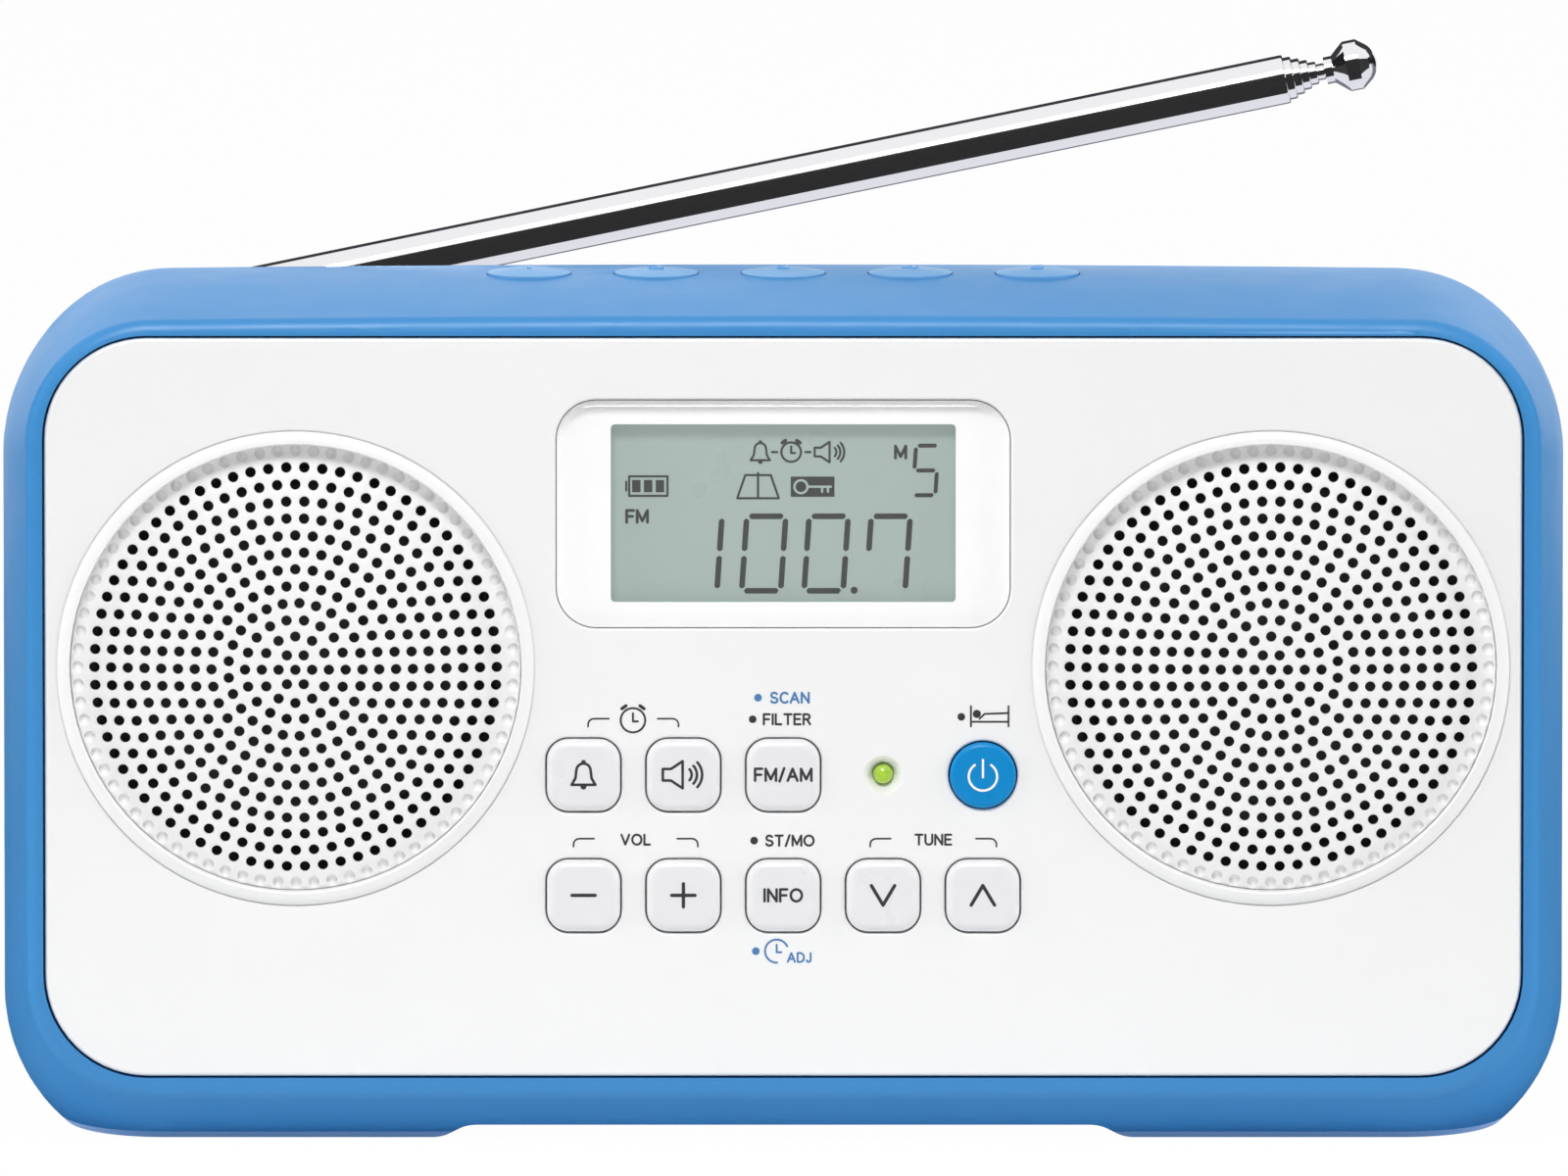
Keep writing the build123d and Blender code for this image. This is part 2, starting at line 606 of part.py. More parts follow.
def panel_blank():
    """Plain panel with its display opening and key holes, all with soft front edges."""
    panel = slab(panel_outline(0), FRONT, PANEL_BACK)
    panel = fillet(front_edges(panel), PANEL_ROUND)
    lens_width = LENS_WIDTH + 2 * LENS_GAP
    lens_height = LENS_HEIGHT + 2 * LENS_GAP
    lens_hole = RectangleRounded(lens_width, lens_height, LENS_CORNER + LENS_GAP)
    panel -= Pos(0, 0, DISPLAY_Z) * slab(lens_hole, FRONT - CUT, MASK_BACK)
    key_hole = RectangleRounded(KEY_WIDTH + 2 * KEY_GAP, KEY_HEIGHT + 2 * KEY_GAP, KEY_CORNER + KEY_GAP)
    for name, x, z in key_table():
        panel -= Pos(x, 0, z) * slab(key_hole, FRONT - CUT, PANEL_BACK + CUT)
    power_hole = Circle(POWER_KEY_RADIUS + KEY_GAP)
    panel -= Pos(2 * KEY_PITCH, 0, KEY_UPPER_Z) * slab(power_hole, FRONT - CUT, PANEL_BACK + CUT)
    face = panel.faces().sort_by(Axis.Y)[0]
    return fillet([edge for rim in face.inner_wires() for edge in rim.edges()], HOLE_ROUND)


def front_panel():
    """White front with grille seats, trim rings, display opening, key holes, lamp dish and posts."""
    panel = panel_blank()
    window_width = LENS_WIDTH - 2 * DISPLAY_LEDGE
    window_height = LENS_HEIGHT - 2 * DISPLAY_LEDGE
    window = RectangleRounded(window_width, window_height, LENS_CORNER - DISPLAY_LEDGE)
    panel -= Pos(0, 0, DISPLAY_Z) * slab(window, FRONT - CUT, PANEL_BACK + CUT)
    trim_radius = GRILLE_RADIUS + TRIM_WIDTH
    groove = Circle(trim_radius + TRIM_GROOVE) - Circle(trim_radius)
    for x in SPEAKERS.values():
        place = Pos(x, 0, SPEAKER_Z)
        panel += speaker_trim(x)
        panel -= place * slab(groove, FRONT - CUT, FRONT + TRIM_GROOVE)
        panel -= place * slab(Circle(GRILLE_RADIUS), FRONT - 2 * CUT, GRILLE_BACK)
        panel -= place * slab(Circle(SPEAKER_OPENING), FRONT - 2 * CUT, PANEL_BACK + CUT)
        for ear_x, ear_z in speaker_ears(x):
            hole = slab(Circle(SMALL_SCREW_RADIUS + SCREW_GAP), PANEL_BACK - EAR_HOLE_DEPTH, PANEL_BACK + CUT)
            panel -= Pos(ear_x, 0, ear_z) * hole
    panel -= lamp_dish()
    for x, z in FRONT_POSTS:
        place = Pos(x, 0, z)
        panel += place * slab(Circle(BOARD_POST_RADIUS), PANEL_BACK, FRONT_BOARD_FRONT)
        panel -= place * slab(Circle(SMALL_SCREW_RADIUS + SCREW_GAP), PANEL_BACK, FRONT_BOARD_FRONT + CUT)
    for x in (SPEAKERS["left"], 0, SPEAKERS["right"]):
        panel += panel_hook(x, True) + panel_hook(x, False)
    return panel


def lamp_dish():
    """Conical dish and hole of the small lamp."""
    x, z = led_place()
    hole = LED_RADIUS + RUNNING_GAP
    bottom = FRONT + LED_DISH_DEPTH
    return turned(Polyline(
        (0, FRONT - CUT), (LED_DISH_RADIUS, FRONT - CUT), (LED_DISH_RADIUS, FRONT), (hole, bottom),
        (hole, PANEL_BACK + CUT), (0, PANEL_BACK + CUT), close=True,
    ), x, z)


# Grilles and speakers
def grille(x, mirror):
    """Perforated disc with rings of round holes, seated in the panel's recess."""
    disc = Circle(GRILLE_RADIUS - GRILLE_GAP)
    holes = [Pos(0, 0) * Circle(GRILLE_HOLE_RADIUS)]
    rings = [(ring * GRILLE_RING_PITCH, count) for ring, count in enumerate(GRILLE_RING_HOLES, start=1)]
    for radius, count in rings:
        if radius + GRILLE_HOLE_RADIUS > SPEAKER_OPENING:
            break
        for i in range(count):
            angle = 2 * math.pi * i / count
            place = Pos(mirror * radius * math.cos(angle), radius * math.sin(angle))
            holes.append(place * Circle(GRILLE_HOLE_RADIUS))
    rims = [hole.wire() for hole in holes]
    plate = Pos(x, 0, SPEAKER_Z) * facing(GRILLE_BACK).location * Face(disc.wire(), rims)
    return Solid.extrude(plate, Vector(0, -GRILLE_THICKNESS, 0))


def speaker_frame(x):
    """Pressed basket: flange with four ears, sloping spokes and a back plate."""
    outer = GRILLE_RADIUS + BASKET_MARGIN
    rim = SPEAKER_OPENING + ROLL_LAP + GRILLE_GAP
    lip = rim - BASKET_LIP
    plate_front = PANEL_BACK + SURROUND_SEAT
    plate_back = SPEAKER_FLANGE_BACK
    end = PANEL_BACK + BASKET_DEPTH
    inside_end = end - BASKET_WALL
    hub = MAGNET_RADIUS + BASKET_WALL
    hole = COIL_RADIUS + COIL_GAP + COIL_WALL
    frame = turned(Polyline(
        (rim, PANEL_BACK), (outer, PANEL_BACK), (outer, plate_back), (outer - BASKET_LIP, plate_back),
        (hub, end), (hole, end), (hole, inside_end), (hub - BASKET_WALL, inside_end),
        (rim - BASKET_LIP / 2, plate_back), (lip, plate_back), (lip, plate_front), (rim, plate_front),
        close=True,
    ), x, SPEAKER_Z)
    inside, front, back = hub - SPOKE_MARGIN, plate_back + SPOKE_MARGIN, inside_end - SPOKE_MARGIN
    window = make_face(Polyline((inside, back), (inside, front), (outer, front), (outer, back), close=True))
    cut = revolve(window, axis=Axis.Y, revolution_arc=SPOKE_WINDOW)
    for i in range(4):
        frame -= Pos(x, 0, SPEAKER_Z) * Rot(0, 90 * i + SPOKE_WINDOW / 2, 0) * cut
    for ear_x, ear_z in speaker_ears(x):
        hole = slab(Circle(SMALL_SCREW_RADIUS + SCREW_CLEARANCE), PANEL_BACK - CUT, plate_back + CUT)
        frame += Pos(ear_x, 0, ear_z) * slab(Circle(EAR_RADIUS), PANEL_BACK, plate_back)
        frame -= Pos(ear_x, 0, ear_z) * hole
    return frame


def speaker_magnet(x):
    """Ring magnet with its pole piece and the gap for the voice coil."""
    front = PANEL_BACK + BASKET_DEPTH
    back = front + MAGNET_LENGTH
    pole = COIL_RADIUS - COIL_WALL - COIL_GAP
    gap = COIL_RADIUS + COIL_GAP
    gap_end = back - MAGNET_BACK_PLATE
    return turned(Polyline(
        (0, front), (pole, front), (pole, gap_end), (gap, gap_end), (gap, front), (MAGNET_RADIUS, front),
        (MAGNET_RADIUS, back), (0, back), close=True,
    ), x, SPEAKER_Z)


def speaker_cone(x):
    """Paper cone with its dust cap and voice coil former."""
    rim = SPEAKER_OPENING - ROLL_INNER
    rim_front = PANEL_BACK + CONE_SETBACK
    rim_back = rim_front + COIL_WALL
    neck = PANEL_BACK + CONE_DEPTH
    inner = COIL_RADIUS - COIL_WALL
    coil_end = PANEL_BACK + BASKET_DEPTH + COIL_ENTRY
    cap_edge = (COIL_RADIUS + CAP_MARGIN, neck - 2 * CAP_WALL)
    cap_inside = (inner, neck - CAP_WALL)
    cap_front = neck - CAP_RISE - CAP_WALL
    return turned([
        Polyline(cap_edge, (rim - SURROUND_LAP, rim_front), (rim, rim_front), (rim, rim_back)),
        Line((rim, rim_back), (COIL_RADIUS, neck)),
        Polyline((COIL_RADIUS, neck), (COIL_RADIUS, coil_end), (inner, coil_end), cap_inside),
        dome(cap_inside, neck - CAP_RISE),
        Line((0, neck - CAP_RISE), (0, cap_front)),
        dome(cap_edge, cap_front),
    ], x, SPEAKER_Z)


def speaker_surround(x):
    """Rubber roll between the cone's rim and the frame."""
    inner = SPEAKER_OPENING - ROLL_INNER - SURROUND_LAP
    roll_in = SPEAKER_OPENING - ROLL_INNER
    roll_out = SPEAKER_OPENING - ROLL_OUTER
    outer = SPEAKER_OPENING + ROLL_LAP
    middle = (roll_in + roll_out) / 2
    in_back = PANEL_BACK + CONE_SETBACK
    in_front = in_back - SURROUND_THICKNESS
    out_back = PANEL_BACK + SURROUND_SEAT
    out_front = out_back - SURROUND_THICKNESS
    deep = PANEL_BACK + ROLL_DEPTH
    return turned([
        Line((inner, in_front), (roll_in, in_front)),
        ThreePointArc((roll_in, in_front), (middle, deep - SURROUND_THICKNESS), (roll_out, out_front)),
        Polyline((roll_out, out_front), (outer, out_front), (outer, out_back), (roll_out, out_back)),
        ThreePointArc((roll_out, out_back), (middle, deep), (roll_in, in_back)),
        Polyline((roll_in, in_back), (inner, in_back), (inner, in_front)),
    ], x, SPEAKER_Z)


# Display
def display_lens():
    """Clear lens that stands a little proud of the panel, with a soft front edge."""
    lens = slab(RectangleRounded(LENS_WIDTH, LENS_HEIGHT, LENS_CORNER), LENS_FRONT, LENS_BACK)
    return Pos(0, 0, DISPLAY_Z) * fillet(front_edges(lens), LENS_ROUND)


def display_mask():
    """Thin white frame behind the lens."""
    sheet = RectangleRounded(LENS_WIDTH - 2 * MASK_GAP, LENS_HEIGHT - 2 * MASK_GAP, LENS_CORNER - MASK_GAP)
    sheet -= RectangleRounded(WINDOW_WIDTH, WINDOW_HEIGHT, WINDOW_CORNER)
    return Pos(0, 0, DISPLAY_Z) * slab(sheet, LENS_BACK, MASK_BACK)


def lcd_glass():
    """Liquid crystal cell, resting on the back of the panel."""
    return Pos(0, 0, DISPLAY_Z) * slab(Rectangle(GLASS_WIDTH, GLASS_HEIGHT), PANEL_BACK, GLASS_BACK)


def lcd_backlight():
    """Light guide between the display and the front board."""
    width = GLASS_WIDTH + 2 * BACKLIGHT_BORDER
    height = GLASS_HEIGHT + 2 * BACKLIGHT_BORDER
    outline = RectangleRounded(width, height, BACKLIGHT_CORNER)
    return Pos(0, 0, DISPLAY_Z) * slab(outline, GLASS_BACK, FRONT_BOARD_FRONT)


# Keys and lamp
def front_key(x, z, cap_outline, flange_outline, rounding):
    """Key cap with its flange behind the panel and the tip that presses the switch."""
    cap = slab(cap_outline, KEY_FRONT, FLANGE_FRONT)
    cap = fillet(front_edges(cap), rounding)
    flange = slab(flange_outline, FLANGE_FRONT, FLANGE_BACK)
    tip = slab(Circle(TIP_RADIUS), FLANGE_BACK, TIP_END)
    return Pos(x, 0, z) * (cap + flange + tip)


def square_key(x, z):
    """Square key with round corners."""
    cap = RectangleRounded(KEY_WIDTH, KEY_HEIGHT, KEY_CORNER)
    flange_width = KEY_WIDTH + 2 * FLANGE_RIM
    flange_height = KEY_HEIGHT + 2 * FLANGE_RIM
    flange = RectangleRounded(flange_width, flange_height, KEY_CORNER + FLANGE_RIM)
    return front_key(x, z, cap, flange, KEY_ROUND)


def power_key():
    """Round key at the end of the upper row."""
    cap = Circle(POWER_KEY_RADIUS)
    flange = Circle(POWER_KEY_RADIUS + FLANGE_RIM)
    return front_key(2 * KEY_PITCH, KEY_UPPER_Z, cap, flange, POWER_KEY_ROUND)


def preset_key(x):
    """Round domed key on top, with its flange below the top wall."""
    edge = (PRESET_RADIUS, PRESET_TOP - PRESET_DOME)
    profile = make_face([
        Polyline((0, PRESET_TOP), (0, PRESET_FLANGE_TOP), (PRESET_RADIUS, PRESET_FLANGE_TOP), edge),
        dome(edge, PRESET_TOP),
    ])
    cap = revolve(Plane.XZ * profile, axis=Axis.Z)
    flange_bottom = PRESET_FLANGE_TOP - FLANGE_THICKNESS
    flange = upright(PRESET_FLANGE_RADIUS, flange_bottom, PRESET_FLANGE_TOP)
    tip = upright(TIP_RADIUS, PRESET_TIP, flange_bottom)
    return Pos(x, PRESET_Y, 0) * (cap + flange + tip)


def status_led():
    """Small domed lamp standing on the front board."""
    x, z = led_place()
    crown = FRONT + LED_SUNK
    shoulder = crown + LED_RADIUS
    collar = LED_RADIUS + LED_COLLAR
    foot = FRONT_BOARD_FRONT
    collar_front = foot - LED_COLLAR_HEIGHT
    return turned([
        Polyline((0, crown), (0, foot), (collar, foot), (collar, collar_front), (LED_RADIUS, collar_front)),
        Line((LED_RADIUS, collar_front), (LED_RADIUS, shoulder)),
        CenterArc((0, shoulder), LED_RADIUS, 0, -90),
    ], x, z)


# Boards and what stands on them
def front_board():
    """Circuit board behind the panel, carrying the display and the switches."""
    low = (-FRONT_BOARD_HALF, FRONT_BOARD_FRONT, FRONT_POST_LOW - BOARD_POST_RADIUS)
    high = (FRONT_BOARD_HALF, FRONT_BOARD_BACK, FRONT_POST_HIGH + BOARD_POST_RADIUS)
    board = block(low, high)
    hole = slab(Circle(SMALL_SCREW_RADIUS + SCREW_CLEARANCE), FRONT_BOARD_FRONT - CUT, FRONT_BOARD_BACK + CUT)
    for x, z in FRONT_POSTS:
        board -= Pos(x, 0, z) * hole
    return board


def front_switches():
    """Push switches behind the front keys."""
    places = [(x, z) for name, x, z in key_table()] + [(2 * KEY_PITCH, KEY_UPPER_Z)]
    case = slab(RectangleRounded(SWITCH_SIZE, SWITCH_SIZE, SWITCH_CORNER), SWITCH_FRONT, FRONT_BOARD_FRONT)
    case -= slab(Circle(TIP_RADIUS + SWITCH_GAP), SWITCH_FRONT - CUT, SWITCH_FRONT + SWITCH_BORE_DEPTH)
    return group(Pos(x, 0, z) * case for x, z in places)


def top_board():
    """Circuit board under the keys on top."""
    front = PRESET_Y - TOP_BOARD_DEPTH / 2
    back = PRESET_Y + TOP_BOARD_DEPTH / 2
    bottom = TOP_BOARD_TOP - BOARD_THICKNESS
    board = block((-TOP_BOARD_HALF, front, bottom), (TOP_BOARD_HALF, back, TOP_BOARD_TOP))
    hole = upright(SMALL_SCREW_RADIUS + SCREW_CLEARANCE, bottom - CUT, TOP_BOARD_TOP + CUT)
    for x in (-TOP_POST_X, TOP_POST_X):
        board -= Pos(x, PRESET_Y, 0) * hole
    return board


def top_switches():
    """Push switches under the keys on top."""
    case = extrude(RectangleRounded(SWITCH_SIZE, SWITCH_SIZE, SWITCH_CORNER), amount=SWITCH_HEIGHT)
    case -= upright(TIP_RADIUS + SWITCH_GAP, SWITCH_HEIGHT - SWITCH_BORE_DEPTH, SWITCH_HEIGHT + CUT)
    return group(Pos(x, PRESET_Y, TOP_BOARD_TOP) * case for x in preset_places())


def main_board():
    """Large circuit board on the posts of the battery tray."""
    half = MAIN_BOARD_WIDTH / 2
    board = block((-half, MAIN_BOARD_FRONT, MAIN_BOARD_BOTTOM), (half, MAIN_BOARD_BACK, MAIN_BOARD_TOP))
    hole = slab(Circle(SMALL_SCREW_RADIUS + SCREW_CLEARANCE), MAIN_BOARD_FRONT - CUT, MAIN_BOARD_BACK + CUT)
    for x, z in MAIN_POSTS:
        board -= Pos(x, 0, z) * hole
    return board


def tuner_shield():
    """Pressed metal can over the tuner."""
    x = SHIELD_EDGE + SHIELD_WIDTH / 2 - MAIN_BOARD_WIDTH / 2
    z = (MAIN_BOARD_BOTTOM + MAIN_BOARD_TOP) / 2
    front = MAIN_BOARD_FRONT - SHIELD_DEPTH
    outline = RectangleRounded(SHIELD_WIDTH, SHIELD_HEIGHT, SHIELD_CORNER)
    inside = Rectangle(SHIELD_WIDTH - 2 * SHIELD_WALL, SHIELD_HEIGHT - 2 * SHIELD_WALL)
    can = slab(outline, front, MAIN_BOARD_FRONT) - slab(inside, front + SHIELD_WALL, MAIN_BOARD_FRONT)
    return Pos(x, 0, z) * can


def ferrite_axis():
    """Location of the ferrite rod's middle."""
    return Pos(0, MAIN_BOARD_FRONT - FERRITE_LIFT, FERRITE_Z)


def ferrite_rod():
    """Rod of the built-in antenna."""
    return ferrite_axis() * lying(FERRITE_RADIUS, -FERRITE_LENGTH / 2, FERRITE_LENGTH / 2)


def ferrite_coil():
    """Winding on the ferrite rod."""
    half = FERRITE_COIL_LENGTH / 2
    tube = lying(FERRITE_RADIUS + FERRITE_COIL_WALL, -half, half) - lying(FERRITE_RADIUS, -half, half)
    return ferrite_axis() * tube


def ferrite_clips():
    """Two clips that hold the ferrite rod on the main board."""
    grip = FERRITE_RADIUS + RUNNING_GAP
    wide = FERRITE_RADIUS + CLIP_WALL
    half = CLIP_LENGTH / 2
    mouth = FERRITE_RADIUS * CLIP_MOUTH
    clip = block((-half, -mouth, -wide), (half, FERRITE_LIFT, wide)) - lying(grip, -half - CUT, half + CUT)
    clip -= block((-half - CUT, -wide, -mouth), (half + CUT, -FERRITE_RADIUS * CLIP_LIP, mouth))
    reach = FERRITE_LENGTH / 2 - CLIP_INSET
    return group(ferrite_axis() * Pos(x, 0, 0) * clip for x in (-reach, reach))


# Sockets
def headphone_jack():
    """Socket block with a round nose in the rear wall and a blind bore."""
    end = BACK - PHONES_LENGTH
    case = slab(Rectangle(SOCKET_BLOCK, SOCKET_BLOCK), end - SOCKET_END, INNER_BACK)
    nose = slab(Circle(PHONES_NOSE), INNER_BACK, BACK)
    bore = slab(Circle(PHONES_BORE), end, BACK + CUT)
    return Pos(SOCKET_X, 0, PHONES_Z) * (case + nose - bore)


def dc_jack():
    """Supply inlet with its centre pin, which ends short of the opening."""
    end = BACK - SUPPLY_LENGTH
    case = slab(Rectangle(SOCKET_BLOCK, SOCKET_BLOCK), end - SOCKET_END, INNER_BACK)
    nose = slab(Circle(SUPPLY_NOSE), INNER_BACK, BACK)
    bore = slab(Circle(SUPPLY_BORE), end, BACK + CUT)
    pin = slab(Circle(SUPPLY_PIN), end, BACK - SUPPLY_PIN)
    return Pos(SOCKET_X, 0, SUPPLY_Z) * (case + nose - bore + pin)


# Batteries
def cell_places():
    """X of each cell, and whether its positive end is up."""
    return [((i - (CELL_COUNT - 1) / 2) * CELL_PITCH, i % 2 == 0) for i in range(CELL_COUNT)]


def end_turned(shape, up):
    """Shape made on the bay's floor with its positive end up, or turned over end for end."""
    middle = Pos(0, 0, BAY_LENGTH / 2)
    return shape if up else middle * Rot(180, 0, 0) * middle.inverse() * shape


def in_bay(x, shape):
    """Shape moved from the bay's own corner to the row of cells."""
    return Pos(x, CELL_Y, BAY_BOTTOM) * shape


def battery_cells():
    """Round cells side by side, every other one upside down."""
    start = PLATE_THICKNESS + SPRING_LENGTH
    can = upright(CELL_RADIUS, start, start + CELL_LENGTH - CELL_NUB_LENGTH)
    can = fillet(can.edges().filter_by(GeomType.CIRCLE), CELL_ROUND)
    can += upright(CELL_NUB_RADIUS, start + CELL_LENGTH - CELL_NUB_LENGTH, start + CELL_LENGTH)
    return group(in_bay(x, end_turned(can, up)) for x, up in cell_places())


def battery_springs():
    """Coil spring at the negative end of each cell."""
    pitch = (SPRING_LENGTH - 2 * SPRING_WIRE) / SPRING_TURNS
    path = Helix(pitch, pitch * SPRING_TURNS, SPRING_RADIUS)
    section = Plane(origin=path @ 0, z_dir=path % 0) * Circle(SPRING_WIRE)
    coil = Pos(0, 0, PLATE_THICKNESS + SPRING_WIRE) * sweep(section, path=path)
    return group(in_bay(x, end_turned(coil, up)) for x, up in cell_places())


def battery_plates():
    """Contact plates at both ends of each cell."""
    width = 2 * (CELL_RADIUS - PLATE_SIDE_GAP)
    depth = 2 * (CELL_RADIUS - PLATE_DEPTH_GAP)
    low = Box(width, depth, PLATE_THICKNESS, align=(Align.CENTER, Align.CENTER, Align.MIN))
    high = Pos(0, 0, BAY_LENGTH - PLATE_THICKNESS) * low
    return group(in_bay(x, plate) for x, up in cell_places() for plate in (low, high))


def battery_door():
    """Flush door with a round lower edge, two hinge pins and a thumb scoop."""
    half = BAY_HALF + DOOR_BORDER
    top = BAY_TOP + DOOR_BORDER
    leaf = block((-half, DOOR_FRONT, DOOR_AXIS_Z), (half, BACK, top))
    edge = Pos(0, DOOR_AXIS_Y, DOOR_AXIS_Z) * lying(DOOR_THICKNESS / 2, -half, half)
    reach = half + DOOR_PIN_LENGTH
    pins = Pos(0, DOOR_AXIS_Y, DOOR_AXIS_Z) * lying(DOOR_PIN_RADIUS, -reach, reach)
    side = THUMB_WIDTH / 2
    scoop = revolve(make_face([
        Line((-side - THUMB_RADIUS, 0), (side + THUMB_RADIUS, 0)),
        CenterArc((side, 0), THUMB_RADIUS, 0, 90),
        Line((side, THUMB_RADIUS), (-side, THUMB_RADIUS)),
        CenterArc((-side, 0), THUMB_RADIUS, 90, 90),
    ]), axis=Axis.X)
    return leaf + edge + pins - Pos(0, BACK + THUMB_RADIUS - THUMB_DEPTH, top - THUMB_DROP) * scoop


# Antenna
def antenna_swivel():
    """Turning base with a forked head and a stub through the ledge."""
    bottom = LEDGE_FLOOR + SWIVEL_GAP
    top = bottom + SWIVEL_HEIGHT
    far = SWIVEL_RADIUS + CUT
    ledge_under = LEDGE_FLOOR - WALL
    head = upright(SWIVEL_RADIUS, bottom, top)
    stub = upright(SWIVEL_STUB_RADIUS, ledge_under - SWIVEL_GAP, bottom)
    slot_floor = PIVOT_Z - TONGUE_RADIUS - TONGUE_GAP
    slot = block((-far, -FORK_SLOT / 2, slot_floor), (far, FORK_SLOT / 2, top + CUT))
    pin_hole = Pos(0, 0, PIVOT_Z) * slab(Circle(PIVOT_RADIUS), -far, far)
    screw_hole = upright(SMALL_SCREW_RADIUS, ledge_under - CUT, LEDGE_FLOOR)
    return Pos(ANTENNA_X, PIVOT_Y, 0) * (head + stub - slot - pin_hole - screw_hole)


def antenna_swivel_screw():
    """Screw with a wide head that holds the swivel from below."""
    top = LEDGE_FLOOR - WALL - SWIVEL_GAP
    bottom = top - SMALL_HEAD_HEIGHT
    head = upright(SWIVEL_HEAD_RADIUS, bottom, top)
    shank = upright(SMALL_SCREW_RADIUS, bottom, LEDGE_FLOOR - SWIVEL_GAP)
    return Pos(ANTENNA_X, PIVOT_Y, 0) * (head + shank)


def antenna_pin():
    """Cross pin of the fork."""
    reach = math.sqrt(SWIVEL_RADIUS ** 2 - PIVOT_RADIUS ** 2)
    return Pos(ANTENNA_X, PIVOT_Y, PIVOT_Z) * slab(Circle(PIVOT_RADIUS), -reach, reach)


def antenna_frame():
    """Location of the antenna's own X axis, tilted up from the pin."""
    return Pos(ANTENNA_X, PIVOT_Y, PIVOT_Z) * Rot(0, -ANTENNA_TILT, 0)


def tube_radius(number):
    """Outer radius of an antenna section, counted from the outside."""
    return TUBE_RADIUS - (number - 1) * (TUBE_WALL + TUBE_GAP)


def antenna_tube(number):
    """One telescopic section. The outer one ends in the tongue, the inner one is solid."""
    radius = tube_radius(number)
    plug_end = TUBE_START + TUBE_PLUG
    start = plug_end + TUBE_NEST * (number - 1)
    end = TUBE_END + TUBE_STEP * (number - 1)
    tube = lying(radius, start, end)
    tube = fillet(tube.edges().filter_by(GeomType.CIRCLE).sort_by(Axis.X)[-1], TUBE_ROUND)
    if number < TUBE_COUNT:
        tube -= lying(radius - TUBE_WALL, start - CUT, end + CUT)
    if number == 1:
        half = TONGUE_WIDTH / 2
        tongue = slab(Circle(TONGUE_RADIUS), -half, half)
        tongue += block((0, -half, -TONGUE_RADIUS), (TUBE_START + CUT, half, TONGUE_RADIUS))
        tube += lying(radius, TUBE_START, plug_end) + tongue
        tube -= slab(Circle(PIVOT_RADIUS + RUNNING_GAP), -half - CUT, half + CUT)
    return antenna_frame() * tube


def antenna_tip():
    """Turned end piece on the innermost section: a barrel with wide chamfers and a domed end."""
    start = TUBE_END + TUBE_STEP * (TUBE_COUNT - 1)
    ball = start + TIP_NECK_LENGTH
    full, fall, edge_at, end = [ball + band for band in TIP_BALL_BANDS]
    edge = (TIP_END_RADIUS, edge_at)
    profile = make_face([
        Polyline((0, end), (0, start), (TIP_NECK_RADIUS, start), (TIP_NECK_RADIUS, ball)),
        Polyline((TIP_NECK_RADIUS, ball), (TIP_BALL_RADIUS, full), (TIP_BALL_RADIUS, fall), edge),
        dome(edge, end),
    ])
    return antenna_frame() * Rot(0, 0, -90) * revolve(profile, axis=Axis.Y)


# Screws
def screw(radius, length, head_radius, head_height):
    """Pan head screw along Y, with the underside of its head at the origin and its point at -Y."""
    head = slab(Circle(head_radius), 0, head_height)
    head = fillet(head.faces().sort_by(Axis.Y)[-1].edges(), head_height / 3)
    slot_floor = head_height * (1 - SLOT_SHARE)
    slot_half = SLOT_WIDTH / 2
    slot = block((-head_radius, slot_floor, -slot_half), (head_radius, head_height + CUT, slot_half))
    return head + slab(Circle(radius), -length, 0) - slot - Rot(0, 90, 0) * slot


def case_screws():
    """Four long screws that join the two halves of the cabinet."""
    fastener = screw(SCREW_RADIUS, SCREW_LENGTH, SCREW_HEAD_RADIUS, SCREW_HEAD_HEIGHT)
    return group(Pos(x, SCREW_HEAD_SEAT, z) * fastener for x, z in SCREW_PLACES)


def inner_screws():
    """Small screws of the speakers and boards."""
    fastener = screw(SMALL_SCREW_RADIUS, SMALL_SCREW_LENGTH, SMALL_HEAD_RADIUS, SMALL_HEAD_HEIGHT)
    speaker = [Pos(x, SPEAKER_FLANGE_BACK, z) for side in SPEAKERS.values() for x, z in speaker_ears(side)]
    front = [Pos(x, FRONT_BOARD_BACK, z) for x, z in FRONT_POSTS]
    main = [Pos(x, MAIN_BOARD_FRONT, z) * Rot(180, 0, 0) for x, z in MAIN_POSTS]
    below = TOP_BOARD_TOP - BOARD_THICKNESS
    top = [Pos(x, PRESET_Y, below) * Rot(-90, 0, 0) for x in (-TOP_POST_X, TOP_POST_X)]
    return group(place * fastener for place in speaker + front + main + top)


